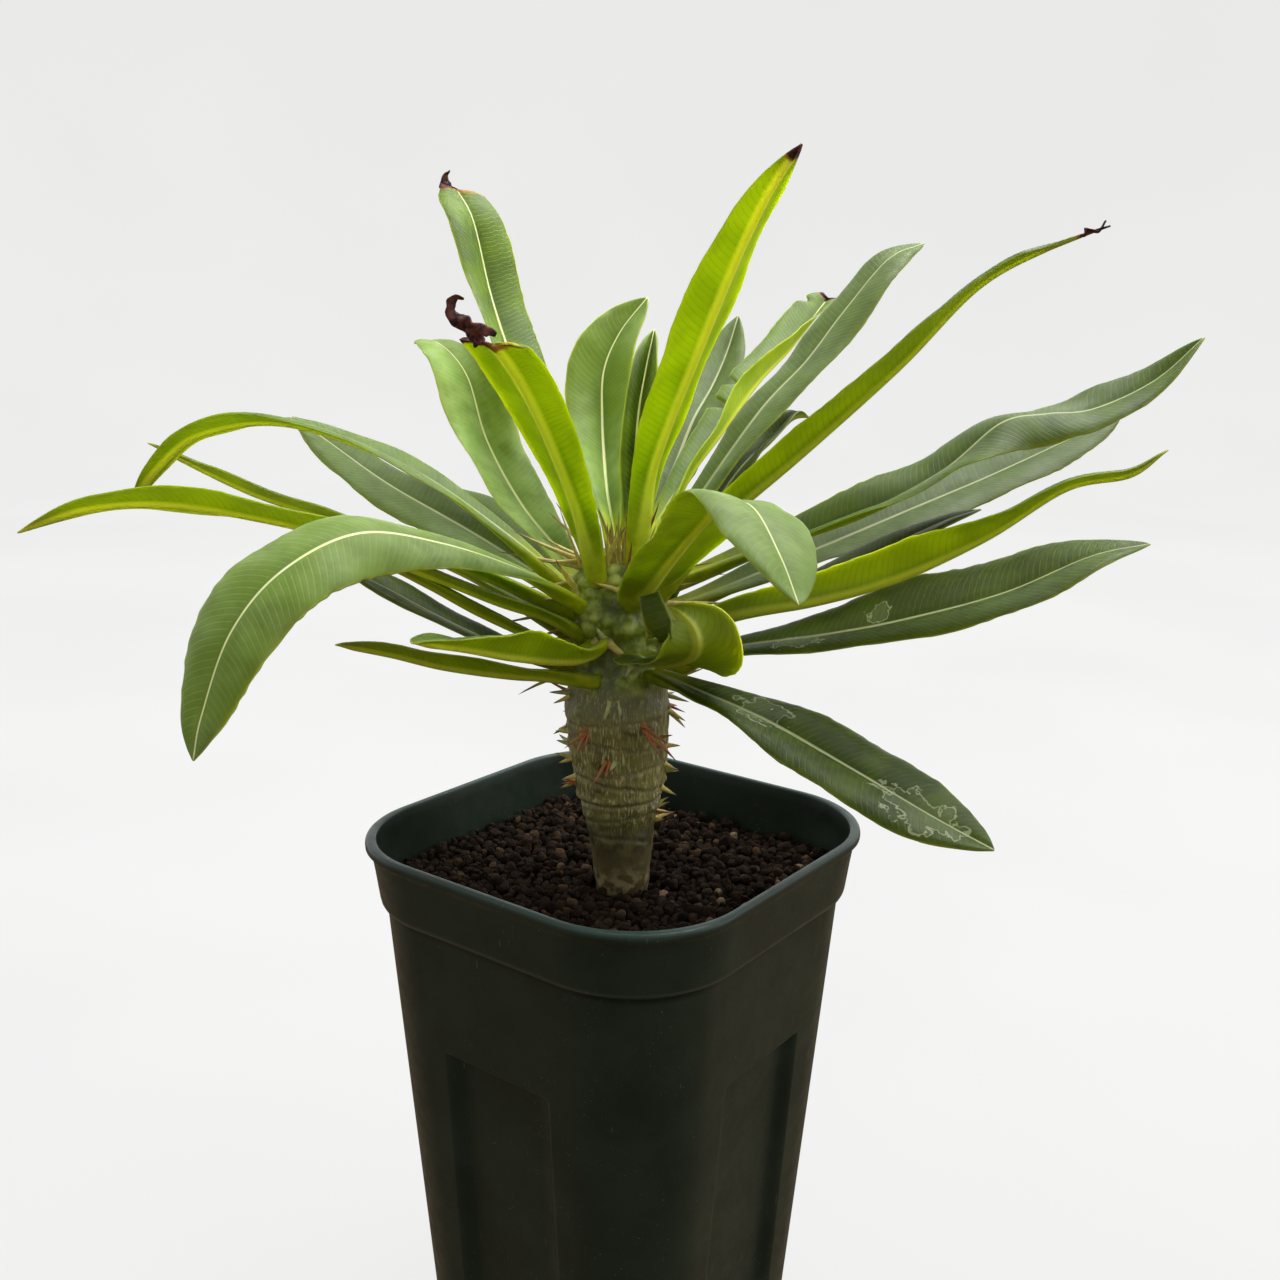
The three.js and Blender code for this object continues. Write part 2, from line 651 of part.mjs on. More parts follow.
function makeSoil() {
  let soil = potInside(CLEARANCE).intersect(
    toSolid(new THREE.BoxGeometry(100, 100, SOIL_TOP).translate(0, 0, SOIL_TOP / 2)),
  );
  const granules = [];
  const spread = RIM_HALF - LIP_WIDTH - 4;
  while (granules.length < GRANULES) {
    const x = (2 * random() - 1) * spread;
    const y = (2 * random() - 1) * spread;
    const size = 2 + 1.4 * random();
    const corner = Math.hypot(Math.max(Math.abs(x) - 20, 0), Math.max(Math.abs(y) - 20, 0));
    if (Math.hypot(x, y) < 10 || corner > 18) continue;
    const grain = new THREE.OctahedronGeometry(size, 0);
    grain.scale(1, 0.8 + 0.4 * random(), 0.75);
    grain.rotateX(random() * 3).rotateZ(random() * 3).translate(x, y, SOIL_TOP - 0.3);
    granules.push(toSolid(grain));
  }
  soil = wasm.Manifold.union([soil, ...granules]);
  const hole = loft(
    TRUNK_PROFILE.filter(([z]) => z <= 119).map(([z, radius], index) =>
      stemRing(radius + 3 * CLEARANCE, index === 0 ? z - CLEARANCE : z, 0, random),
    ),
  );
  return soil.subtract(toSolid(hole));
}

const part = new THREE.Group();
part.name = "potted_pachypodium";

function add(name, geometry, colour, roughness) {
  const material = new THREE.MeshStandardMaterial({ color: colour, roughness });
  const mesh = new THREE.Mesh(geometry, material);
  mesh.name = name;
  part.add(mesh);
}

add("pot", toGeometry(makePot()), 0x16302a, 0.5);
add("soil", toGeometry(makeSoil()), 0x2b1f19, 1);
add("trunk", toGeometry(makeTrunk()), 0x7a7058, 0.9);
for (const [key, geometry] of Object.entries(leafGeometries)) {
  geometry.computeVertexNormals();
  add("leaf_" + key, geometry, 0x4c7a35, 0.55);
}

export default part;
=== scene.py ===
"""Looks of a potted Pachypodium menabeum: fine leaves, spiny trunk, granules and a moulded pot.

Shapes are worked out in millimetres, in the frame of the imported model, and become metres when a
mesh is made. A heading counts from the right-hand side of the view, and 90 points away from it.
"""
import math

import bpy
import numpy as np
from mathutils import Matrix, Vector


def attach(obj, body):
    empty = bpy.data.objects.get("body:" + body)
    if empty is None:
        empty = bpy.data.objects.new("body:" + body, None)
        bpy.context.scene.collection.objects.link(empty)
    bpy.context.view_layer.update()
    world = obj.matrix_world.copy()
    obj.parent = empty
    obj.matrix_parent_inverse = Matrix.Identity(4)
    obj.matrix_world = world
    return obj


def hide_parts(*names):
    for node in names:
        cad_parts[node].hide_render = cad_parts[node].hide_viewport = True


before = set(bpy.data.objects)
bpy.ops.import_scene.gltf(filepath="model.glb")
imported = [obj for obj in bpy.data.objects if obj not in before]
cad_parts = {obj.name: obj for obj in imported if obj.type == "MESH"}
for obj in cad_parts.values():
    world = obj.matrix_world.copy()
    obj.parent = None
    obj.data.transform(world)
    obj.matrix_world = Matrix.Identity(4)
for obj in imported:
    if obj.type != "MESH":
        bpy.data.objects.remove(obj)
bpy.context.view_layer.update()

MM = 0.001

# The view that spines and strips are placed in: its turn, its right, the way towards it, and up.
VIEW_TURN = math.radians(37)
VIEW_RIGHT = np.array([math.cos(VIEW_TURN), math.sin(VIEW_TURN), 0.0])
VIEW_NEAR = np.array([math.sin(VIEW_TURN), -math.cos(VIEW_TURN), 0.0])
UPWARD = np.array([0.0, 0.0, 1.0])

# The pot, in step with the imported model.
POT_HEIGHT = 120.0
COLLAR_HEIGHT = 14.0
RIM_HALF = 45.0
COLLAR_HALF = 42.9
BODY_TOP_HALF = 41.0
BASE_HALF = 33.4
RIM_CORNER = 24.0
COLLAR_CORNER = 24.0
BODY_CORNER = 20.5
BASE_CORNER = 17.0
WALL = 1.6
LIP_WIDTH = 1.8
FLOOR = 2.5
PANEL_TOP = 78.0
PANEL_BOTTOM = 12.0
PANEL_HALF = 14.2
PANEL_DEPTH = 2.4
PANEL_SLOPE = 3.4
DRAIN_RADIUS = 4.0
DRAIN_OFFSET = 19.0

SOIL_TOP = 106.9
SOIL_RISE = 2.0
GRAIN_SPACING = 2.15
LOOSE_GRAINS = 260
SOIL_GAP = 2.2

# Trunk radius by height, the stem's lean at the soil, and the raised rings left by old leaves:
# height, depth, tilt across the view and the half turn that the ring covers from its middle.
TRUNK_PROFILE = [
    (82, 2.4), (88, 4.2), (96, 5.3), (106, 5.8), (109, 6.2), (115, 6.6), (119, 6.9), (122.6, 7.5),
    (126.5, 8.8), (130, 9.5), (134, 10.0), (138, 10.5), (142, 10.8), (148, 11.0), (151, 10.4),
    (155, 8.9), (158, 8.6), (162, 8.9), (167, 9.3), (171, 9.3), (175, 8.4), (178, 6.8), (181, 4.2),
]
BASE_LEAN = 1.3
RING_SCARS = [
    (119.2, 0.35, -0.6, 50), (124.2, 0.3, 1.4, 70), (127.6, 0.75, 0.7, 180), (131.8, 0.6, -1.4, 60),
    (134.8, 0.35, 1.6, 80), (141.0, 0.2, -1.2, 60), (146.0, 0.25, 1.4, 100),
]
# Knobs of the crown and of the stem under it: how many, and ranges of height, angle, rise and size.
KNOBS = [
    (64, (153, 180), (-math.pi, math.pi), (0.6, 1.7), (1.5, 2.5)),
    (26, (122, 150), (-math.pi, math.pi), (0.2, 0.6), (0.8, 1.5)),
]
# The fine rows of the bark begin at this height, just under the soil's top.
BARK_FROM = 104.0
BARK_ROW = 0.3
BARK_COLUMNS = 150
TRUNK_BOTTOM = 82.0
TRUNK_TOP = 182.6

# Leaves: heading, width, fold and roll along the blade in degrees, and the midrib's way as reach
# from the axis, height and, where it has any, sideways drift. tone is the grey of the upper side,
# partly a waxy bloom and partly painted sheen, how light the whole leaf is made, partly its own tone
# and partly painted light and shade for how it is lit, and how much darker olive is laid over all
# of it. cut says how far the tip goes at its left and right edge, and charred how burnt it is there.
# A bite is a side, share along, reach and depth. A burn is a share, place across, radius and
# strength, and a film, left by dried water, a share, place across, reach along and spread across.
# widest, rise_power and tip_power shape the outline, tail is a share and how narrow the blade is
# from there on, and right_fold is a fold of the right half's own.
LEAVES = {
    "A": dict(
        heading=122, width=17, tip_power=7, tone=(0.12, 1.5, 0),
        cut=(0.98, 0.93), charred=(1.0, 0.1),
        fold=[40, 32, 26, 18, 0], roll=[0, 12, 20, 14, 0],
        path=[(9, 177), (25, 196, 0.3), (43, 212), (52, 221, -0.5), (61, 233, -0.8), (69, 249, -0.6),
              (75, 256, 0.5), (77, 261, 3)],
    ),
    "B": dict(
        heading=134, width=20, tip_power=3.4, tone=(1.0, 1.6, 0),
        fold=[20, 15, 12, 4, 0], roll=[0, 4, 8, 4, 0],
        path=[(9, 171), (19, 178), (32, 187), (44, 200), (51, 214), (60, 221, 1), (68, 221, 2)],
    ),
    "C": dict(
        heading=240, width=14, tip_power=2.5, tone=(0.1, 1.1, 0),
        cut=(0.78, 0.875), charred=(0.0, 1.0),
        fold=[20, 12, 8, 8, 15], roll=[0, -5, -5, 8, 20],
        path=[(8, 177), (11, 183), (21, 199), (30, 211), (39, 220), (46, 226, -2), (50, 231, -6)],
    ),
    "D": dict(
        heading=94, width=18, tip_power=2.8, tone=(0.5, 1.7, 0.05),
        fold=[60, 52, 40, 30, 22], roll=[0, -4, -10, -20, -25],
        path=[(7, 180), (18, 189, 1.5), (30, 195, 1.8), (40, 204, 2), (46, 215, 1.5), (50, 224, -2.5),
              (53, 232, -9)],
    ),
    "E": dict(
        heading=80, width=9, tone=(0.0, 1.5, 0.1),
        fold=[50, 55, 60], roll=[5, 5, 5],
        path=[(4, 182, -2), (8, 194, -1.5), (12, 207, -1.5), (17, 216, -2), (25, 225, -2.5)],
    ),
    "F": dict(
        heading=300, width=15.5, tip_power=2.9, tone=(0.2, 1.4, 0),
        burns=[(1.0, 0.0, 3.2, 1.0)],
        fold=[35, 20, 20, 20, 15], roll=[10, 16, 18, 18, 15],
        path=[(6, 180), (11, 195), (18, 206, -0.5), (28, 220, -0.5), (39, 237, 0.5), (47, 248, 1.5),
              (53, 255.5, 3.5)],
    ),
    "G": dict(
        heading=71, width=14, tone=(0.5, 0.8, 0.05),
        fold=[30, 20, 15, 20, 30], roll=[0, 0, 0, 5, 10],
        path=[(9, 172), (26, 187), (38, 195), (51, 204), (66, 211), (79, 219), (89, 228)],
    ),
    "H": dict(
        heading=59, width=14, tip_power=8, tone=(0.35, 1.3, 0),
        cut=(0.985, 0.955), right_fold=[30, 55, 72, 60, 30],
        bites=[(1, 0.47, 1.6, 0.5), (1, 0.545, 1.3, 0.35), (1, 0.93, 1.2, 0.3)],
        burns=[(0.9, -1.5, 1.6, 0.9), (1.0, 0.0, 1.6, 0.9)],
        fold=[30, 30, 42, 25, 30], roll=[-15, -15, -16, 0, 12],
        path=[(9, 180), (28, 193.5), (43, 202), (62, 213), (80, 221), (104, 234)],
    ),
    "I": dict(
        heading=36, width=16, tip_power=2.8, tone=(0.6, 0.8, 0),
        fold=[20, 6, 0, -4, 0], roll=[-5, -5, -3, 0, 15],
        path=[(9, 176), (19, 188.5), (37, 208), (50, 218.5), (61, 229.5), (74, 241), (85.5, 245)],
    ),
    "J": dict(
        heading=48, width=10, tone=(0.1, 0.8, 0.5),
        fold=[30, 25, 25, 40, 70],
        path=[(10, 162), (26, 182), (39, 194), (50, 200), (59, 205), (66, 205)],
    ),
    "K": dict(
        heading=336, width=17, tip_power=2.3, tone=(0.2, 0.85, 0),
        tail=(0.93, 0.75), burns=[(0.99, 0.0, 4.5, 1.0)],
        fold=[40, 34, 23, 11, 10], roll=[-20, -16, -4, 4, 3],
        path=[(8, 172), (22, 188), (38, 202.5), (56, 219.5), (69, 233.5), (80, 240), (91, 244)],
    ),
    "L": dict(
        heading=7, width=18, tip_power=2.4, tone=(0.3, 0.75, 0.05),
        fold=[30, 26, 38, 16, -26, 10, 25], roll=[0, 6, 18, 6, 18, 20, 18],
        path=[(10, 174), (30, 181), (51, 188), (68, 197), (80, 207), (90, 209), (100, 210), (113, 216),
              (123, 225)],
    ),
    "M": dict(
        heading=24, width=19, tip_power=3.4, tone=(0.5, 0.58, 0),
        fold=[25, 10, 6, 5, 0], roll=[5, 14, 14, 16, 16],
        path=[(10, 168), (24, 171), (50, 179), (72, 186), (94, 193), (122, 203), (131, 207)],
    ),
    "N": dict(
        heading=344, width=16, tip_power=2.8, tone=(0.2, 0.85, 0.05),
        fold=[40, 50, 42, 14, 20], roll=[-20, -42, -32, -10, -8],
        path=[(10, 165), (24, 169), (40, 172.5), (57, 178.6), (73, 187.6), (87, 197.8), (98, 200.8),
              (104, 205.6)],
    ),
    "N2": dict(
        heading=7, width=11, tone=(0, 0.9, 0.55),
        fold=[20, 12, 8, 5, 5], roll=[5, 8, 10, 10, 5],
        path=[(10, 161), (26, 168), (38, 172), (49, 177), (68, 186), (77, 189)],
    ),
    "O": dict(
        heading=352, width=22, tip_power=2.9, tone=(0.15, 0.9, 0.2),
        films=[(0.30, -3.0, 7.0, 4.0), (0.47, 3.0, 4.0, 3.0)],
        fold=[10, 5, 16, 12, 5], roll=[5, 10, 22, 20, 10],
        path=[(10, 156), (23, 161), (44, 165), (60, 169), (78, 175), (94, 183), (105, 186)],
    ),
    "P": dict(
        heading=289, width=20.5, tip_power=4.2, tone=(0.75, 1.0, 0),
        rise_power=0.85,
        fold=[20, 8, 0, -2, 0], roll=[0, 3, 12, -16, -20],
        path=[(8, 172), (24, 180), (42, 191), (56, 198), (68, 199), (79, 193), (86, 187)],
    ),
    "Q": dict(
        heading=320, width=18, tip_power=3.0, tone=(0, 0.6, 0.0),
        films=[(0.36, 1.0, 9.0, 5.0), (0.82, -1.0, 12.0, 6.0)],
        fold=[20, 12, 8, 4, 4], roll=[0, 6, 14, 18, 20],
        path=[(9, 157), (20, 155), (38, 152), (58, 146.5), (75, 141.5), (87, 138.5)],
    ),
    "R": dict(
        heading=294, width=24, widest=0.45, tip_power=1.7, tone=(0, 0.8, 0.35),
        fold=[15, 5, -6, -12, -20], roll=[0, -6, -12, -6, 0],
        path=[(9, 161), (16, 160.8, 0.5), (23, 162, 1.5), (29, 164.4, 2.5), (32, 167.4, 2.5),
              (31, 170.4, 2), (28, 172.5, 0.5), (25, 173.5, -1)],
    ),
    "S": dict(
        heading=221, width=19.5, tip_power=2.9, tone=(0.55, 1.35, 0),
        fold=[20, -4, -16, -4, 0], roll=[0, -15, -26, -22, -30],
        path=[(9, 171), (25, 179.5), (43, 186.5), (60, 190), (75, 185), (85, 175.5), (91, 162),
              (93, 154.5)],
    ),
    "T": dict(
        heading=176, width=14, tip_power=2.3, tone=(0.4, 1.1, 0),
        fold=[25, 14, 10, 14, 20], roll=[0, -5, 0, 14, 22],
        path=[(10, 173), (24, 184), (40, 195), (56, 202.3), (72, 205.7), (88, 202.6), (97, 195.5),
              (103.5, 187.5)],
    ),
    "U": dict(
        heading=191, width=15, tip_power=2.3, tone=(0.25, 1.1, 0),
        fold=[20, 14, 15, 16, 16], roll=[10, 13, 22, 28, 24],
        path=[(10, 169), (29, 177), (48, 182.3), (68, 187.8), (88, 191.4), (103, 190.8), (116, 186.6)],
    ),
    "U2": dict(
        heading=164, width=13, tip_power=2.4, tone=(0.2, 1.0, 0.1),
        fold=[20, 15, 14, 14, 14], roll=[10, 15, 20, 28, 30],
        path=[(10, 163), (30, 172), (48, 178.6), (66, 183.8), (86, 188.8), (111, 198.6)],
    ),
    "V": dict(
        heading=151, width=18, tip_power=2.6, tone=(0.5, 0.85, 0),
        fold=[20, 5, 2, 0, 5], roll=[-5, -8, -12, -6, 0],
        path=[(9, 167), (19, 173), (37, 181), (60, 190), (78, 199), (88, 204)],
    ),
    "W": dict(
        heading=124, width=12, tone=(0.3, 0.9, 0.15),
        fold=[20, 20, 18, 15, 15],
        path=[(10, 165), (25, 169), (47, 177), (62, 182), (80, 185)],
    ),
    "X": dict(
        heading=180, width=13, tone=(0.05, 1.0, 0.3),
        fold=[25, 15, 10, 10, 10], roll=[0, -5, -5, -5, -5],
        path=[(10, 157), (21, 158.5), (31, 163), (39, 167), (50, 173), (62, 179)],
    ),
    "Y": dict(
        heading=196, width=11, tone=(0.1, 1.0, 0.1),
        fold=[20, 15, 15], roll=[10, 10, 10],
        path=[(9, 160), (17, 163), (29, 169), (39, 175), (50, 181), (60, 185)],
    ),
    "Z1": dict(
        heading=211, width=12, tone=(0.2, 1.0, 0.1),
        fold=[20, 15, 15], roll=[5, 5, 5],
        path=[(9, 165), (15, 168), (26, 172), (37, 177), (46, 181), (56, 185)],
    ),
    "Z2": dict(
        heading=190, width=11, tip_power=4, tone=(0.2, 0.95, 0.1),
        fold=[25, 24, 24, 22, 20], roll=[20, 27, 27, 25, 20],
        path=[(7, 156, 7), (14, 156, 6), (22, 155.5, 3), (36, 157), (47, 160), (58, 162.5)],
    ),
    "AA": dict(
        heading=238, width=16, tip_power=3.0, tone=(0.2, 1.0, 0),
        fold=[30, 33, 34, 24, 20], roll=[10, 18, 18, 8, 5],
        path=[(8, 164, 1), (13, 162, 1), (20, 161.5), (36, 165.5), (50, 170), (64, 174)],
    ),
}
# Strips at leaf tips, each as how withered it is (1 brown, 0 green) and its run: right of the axis,
# towards the view, height, width, and the turn of its face away from the view in degrees.
STRIPS = {
    "A": [(1.0, [(-42.6, -63.0, 255.4, 3.4, 0), (-43.1, -63.5, 257.2, 3.0, 15),
                 (-43.2, -63.9, 259.0, 1.7, 35), (-42.4, -64.1, 260.8, 0.3, 50)])],
    "C": [(1.0, [(-23.6, 37.2, 222.8, 2.2, 20), (-25.4, 37.4, 225.2, 2.6, -30),
                 (-27.6, 37.0, 226.9, 3.0, -10), (-28.6, 36.4, 228.4, 2.6, 30),
                 (-27.9, 35.8, 230.4, 2.4, 60), (-26.6, 35.6, 230.2, 1.0, 80)]),
          (0.9, [(-26.2, 37.2, 224.8, 1.6, -20), (-24.2, 37.9, 225.3, 2.2, 25),
                 (-22.2, 38.2, 225.0, 2.0, -15), (-20.9, 37.8, 224.4, 1.0, 10)])],
    "K": [(1.0, [(79.0, 36.9, 242.6, 1.5, 0), (80.9, 36.9, 242.8, 1.0, 50), (81.9, 36.8, 243.2, 0.7, 90),
                 (82.7, 36.5, 244.4, 0.3, 120)])],
    "R": [(0.0, [(8.9, 28.6, 169.6, 6.4, 0), (7.2, 28.9, 174.2, 5.6, 0), (6.2, 29.6, 177.4, 3.8, 0),
                 (6.9, 30.8, 175.2, 4.6, 0), (8.2, 31.4, 171.6, 5.4, 10), (9.4, 30.9, 168.9, 2.6, 20)])],
}
STRIP_ROWS = 36

# What all leaves share. HALF_VEIN is half the way from one side vein to the next. WIDEST_AT is a
# share of the length, and COLUMNS are shares of the half width.
STEM_WIDTH = 3.8
STEM_THICKNESS = 2.2
BLADE_THICKNESS = 0.5
ROOT_DEPTH = 2.5
ROOT_ROUNDING = 1.5
WIDEST_AT = 0.6
TIP_ROUNDING = 0.85
CREASE = 0.8
RIB_DEPTH = 0.9
GROOVE_DEPTH = 0.22
EDGE_WAVE = 0.35
WAVE_LENGTH = 27.0
FLUTTER = 0.2
EDGE_CURL = 0.4
EDGE_RAGGED = 0.03
HALF_VEIN = 0.68
VEIN_SLANT = 0.42
VEIN_RELIEF = 0.022
COLUMNS = [0.05, 0.11, 0.19, 0.30, 0.44, 0.59, 0.74, 0.88, 0.965]

# Spines that show from the front: root right of the axis and its height, tip right of the root and
# above it, and the kind. They stand on the front surface of the trunk.
FRONT_SPINES = [
    (-6.8, 180, -6.2, 10.3, "tan"), (-7.2, 180, -7.2, 8.3, "tan"), (-8.0, 179, -3.0, 8.7, "tan"),
    (-8.5, 172, -4.2, 8.0, "stout"), (-9.0, 171, -6.5, 0.2, "tan"), (-8.6, 171, 0.4, -3.1, "tan"),
    (-8.5, 178, -13.5, 6.4, "tan"), (-9.0, 177, -16.0, 3.0, "tan"), (-9.1, 169, -15.0, -3.3, "tan"),
    (-10.0, 161, -7.2, 1.0, "tan"), (-4.2, 163, -6.9, -4.8, "stout"), (-2.0, 163, 6.7, -4.2, "stout"),
    (-3.0, 164, -1.7, 2.9, "pale"), (0.0, 174, -5.2, 1.9, "tan"), (1.7, 176, 1.0, 8.3, "red"),
    (-3.1, 178, 4.5, 9.0, "stout"), (-0.6, 181, -3.5, 9.5, "tan"), (3.0, 180, 5.0, 12.0, "red"),
    (9.0, 175, 13.2, 0.8, "tan"), (9.4, 171, 4.0, 5.0, "tan"), (9.4, 170, 12.8, 0.4, "tan"),
    (9.4, 169, 12.2, 1.4, "tan"), (3.1, 158, -1.5, -2.5, "pale"), (8.8, 155, 5.5, 0.0, "tan"),
    (-6.4, 144, -4.5, -3.0, "orange"), (-6.4, 144, -2.3, -5.3, "orange"),
    (-6.0, 145, -3.4, -1.2, "orange"), (-5.8, 144, -1.0, -3.4, "orange"),
    (5.2, 146, 5.4, -3.4, "orange"), (4.8, 146, 3.0, -1.0, "orange"), (5.6, 145, 4.2, -6.0, "orange"),
    (9.0, 142, 2.4, 1.0, "orange"), (-1.6, 138, -1.2, -3.6, "orange"), (5.0, 145, 6.6, -5.1, "orange"),
    (9.1, 141, 3.2, -3.6, "orange"), (-2.5, 138, -3.0, -4.9, "orange"), (-0.4, 138, -1.3, -1.9, "pale"),
    (-1.4, 151, -1.5, -4.2, "pale"), (0.3, 151, 0.8, -3.2, "pale"),
    (-10.3, 150, -3.2, -1.7, "tan"), (-10.7, 142, -2.6, 0.0, "tan"), (-10.2, 136, -3.4, 1.0, "tan"),
    (-10.2, 136, -2.8, -1.3, "tan"), (-9.6, 132, -2.8, -0.9, "tan"), (10.9, 147, 3.4, -2.5, "tan"),
    (10.9, 147, 3.4, -4.0, "tan"), (10.5, 139, 2.6, 0.0, "tan"), (10.0, 135, 2.2, -1.3, "tan"),
    (9.2, 130, 3.0, -1.9, "tan"),
]
# The sheaf of spines between the upper leaves, from left to right of the axis, and the spines
# behind, which are placed at random by pairs.
CROWN_SPINES = 46
CROWN_FROM = -7.5
CROWN_TO = 5.0
BACK_PAIRS = 46
CROWN_HEIGHT = 152.0
SPINE_RADIUS = {"stout": 0.85, "tan": 0.6, "orange": 0.42, "red": 0.5, "pale": 0.65, "crown": 0.42}
SPINE_TINT = {"stout": 0.45, "tan": 0.5, "orange": 0.75, "red": 1.0, "pale": 0.0, "crown": 0.45}

# The stage and the light, in metres. A lamp has its place right of the axis, towards the view and
# up, its width and its power.
FLOOR_REACH = 1.5
FLOOR_BEND = 0.5
LAMPS = [("overhead", 0.35, -0.3, 1.2, 0.9, 20.0), ("right_window", 1.3, 0.25, 0.6, 0.7, 4.0)]
LAMP_AIM = (0.0, 0.0, 0.17)
ROOM_FRONT = 0.5
ROOM_STRENGTH = 1.45
TABLE_GLOW = (0.20, 0.14, 0.09)

# The camera's place in mm, its turn, downward tilt and roll in degrees, and its lens.
CAMERA_PLACE = (169.99, -218.23, 228.65)
CAMERA_ANGLES = (36.968, 13.639, 0.745)
CAMERA_LENS = 38.115


def smooth(value, low=0.0, high=1.0):
    """Eases from 0 to 1 as value goes from low to high."""
    share = np.clip((np.asarray(value, float) - low) / (high - low), 0.0, 1.0)
    return share * share * (3.0 - 2.0 * share)


def unit(vectors):
    return vectors / np.linalg.norm(vectors, axis=-1, keepdims=True)


def along(values, share):
    """A value list spread evenly from root to tip, eased between its entries."""
    place = np.minimum(share, 0.9999) * (len(values) - 1)
    index = np.floor(place).astype(int)
    values = np.asarray(values, float)
    return values[index] + (values[index + 1] - values[index]) * smooth(place - index)


def lumps(points, size, seed):
    """Soft random hills from -1 to 1 over space; size is how wide one is, in mm, on each axis."""
    places = np.asarray(points) / size + 31.7 * seed
    cell = np.floor(places).astype(np.int64)
    part = places - cell
    part = part * part * (3.0 - 2.0 * part)
    total = np.zeros(places.shape[:-1])
    for corner in range(8):
        step = np.array([corner & 1, (corner >> 1) & 1, corner >> 2])
        at = cell + step
        mixed = (at[..., 0] * 73856093) ^ (at[..., 1] * 19349663) ^ (at[..., 2] * 83492791)
        mixed = (mixed * 668265263 + seed * 374761393) & 0xFFFFFFFF
        mixed = ((mixed ^ (mixed >> 13)) * 1274126177) & 0xFFFFFFFF
        mixed = mixed ^ (mixed >> 16)
        weight = np.prod(np.where(step == 1, part, 1.0 - part), axis=-1)
        total += weight * (mixed / 2147483648.0 - 1.0)
    return total


def linked(name, data):
    """A new object in the scene."""
    made = bpy.data.objects.new(name, data)
    bpy.context.scene.collection.objects.link(made)
    return made


def make_piece(name, points, faces, material, values, nodes, flat=False):
    """A mesh from points in mm, with its vertex values; it rides on the root body."""
    mesh = bpy.data.meshes.new(name)
    mesh.from_pydata((np.asarray(points) * MM).tolist(), [], faces)
    for key, rows in values.items():
        layer = mesh.attributes.new(key, "FLOAT_VECTOR", "POINT")
        layer.data.foreach_set("vector", np.asarray(rows, np.float32).ravel())
    mesh.polygons.foreach_set("use_smooth", [not flat] * len(mesh.polygons))
    mesh.materials.append(material)
    mesh.update()
    piece = linked(name, mesh)
    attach(piece, "root")
    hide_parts(*nodes)
    return piece


def tube_faces(rows, count, first=0):
    """Quads between rings of equal count, listed counterclockwise about the way the rings go."""
    here = first + np.arange(rows - 1)[:, None] * count + np.arange(count)[None, :]
    ahead = first + np.arange(rows - 1)[:, None] * count + (np.arange(count)[None, :] + 1) % count
    quads = np.stack([here, ahead, ahead + count, here + count], axis=-1)
    return quads.reshape(-1, 4).tolist()


def capped_tube(rings, first=0):
    """Points and faces of a closed skin over rings, shape (rows, count, 3)."""
    rows, count = rings.shape[:2]
    points = np.vstack([rings.reshape(-1, 3), rings[0].mean(0)[None], rings[-1].mean(0)[None]])
    faces = tube_faces(rows, count, first)
    start = first + rows * count
    top = first + (rows - 1) * count
    for j in range(count):
        ahead = (j + 1) % count
        faces.append([start, first + ahead, first + j])
        faces.append([start + 1, top + j, top + ahead])
    return points, faces


def curve_through(points, count=500):
    """Evenly spaced places on a smooth curve through points, the way it goes there, its length."""
    points = np.asarray(points, float)
    ends = np.vstack([2 * points[0] - points[1], points, 2 * points[-1] - points[-2]])
    share = np.linspace(0, 1, 60)[:, None]
    runs = []
    for a, b, c, d in zip(ends[:-3], ends[1:-2], ends[2:-1], ends[3:]):
        runs.append(0.5 * (2 * b + (c - a) * share + (2 * a - 5 * b + 4 * c - d) * share**2
                           + (3 * b - a - 3 * c + d) * share**3))
    dense = np.vstack(runs)
    gone = np.concatenate([[0], np.cumsum(np.linalg.norm(np.diff(dense, axis=0), axis=1))])
    places = np.linspace(0, gone[-1], count)
    even = np.stack([np.interp(places, gone, dense[:, axis]) for axis in range(3)], axis=1)
    return even, unit(np.gradient(even, axis=0)), gone[-1]


def at_share(table, share):
    """Rows of an evenly spaced table at shares from 0 to 1."""
    places = np.linspace(0, 1, len(table))
    return np.stack([np.interp(share, places, table[:, axis]) for axis in range(3)], axis=-1)


def leaf_frames(leaf):
    """Evenly spaced places along the midrib, the ways left and up at each, and the length."""
    heading = math.radians(leaf["heading"]) + VIEW_TURN
    out = np.array([math.cos(heading), math.sin(heading), 0.0])
    aside = np.array([-math.sin(heading), math.cos(heading), 0.0])
    places = []
    for reach, height, *drift in leaf["path"]:
        places.append(reach * out + sum(drift) * aside + height * UPWARD)
    places.insert(0, places[0] - ROOT_DEPTH * unit(places[1] - places[0]))
    middle, forward, length = curve_through(places)
    left = unit(aside - (forward @ aside)[:, None] * forward)
    roll = along(leaf.get("roll", (0, 0)), np.linspace(0, 1, len(middle)))
    roll = np.radians(roll)[:, None]
    left = left * np.cos(roll) + np.cross(forward, left) * np.sin(roll)
    return middle, left, np.cross(forward, left), length


def half_width(leaf, share):
    """Half the blade's width: a sine up to its widest place, then a falling power to the tip."""
    stem = STEM_WIDTH / leaf["width"]
    widest = leaf.get("widest", WIDEST_AT)
    rise = leaf.get("rise_power", 1.35)
    rising = stem + (1 - stem) * np.sin(np.clip(share / widest, 0, 1) * math.pi / 2) ** rise
    end = leaf.get("tip_power", 2.6)
    falling = (1 - np.clip((share - widest) / (1 - widest), 0, 1) ** end) ** TIP_ROUNDING
    half = np.maximum(leaf["width"] / 2 * np.where(share < widest, rising, falling), 0.16)
    if "tail" in leaf:
        start, tail_half = leaf["tail"]
        half = half + (np.minimum(half, tail_half) - half) * smooth(share, start - 0.06, start)
    return half


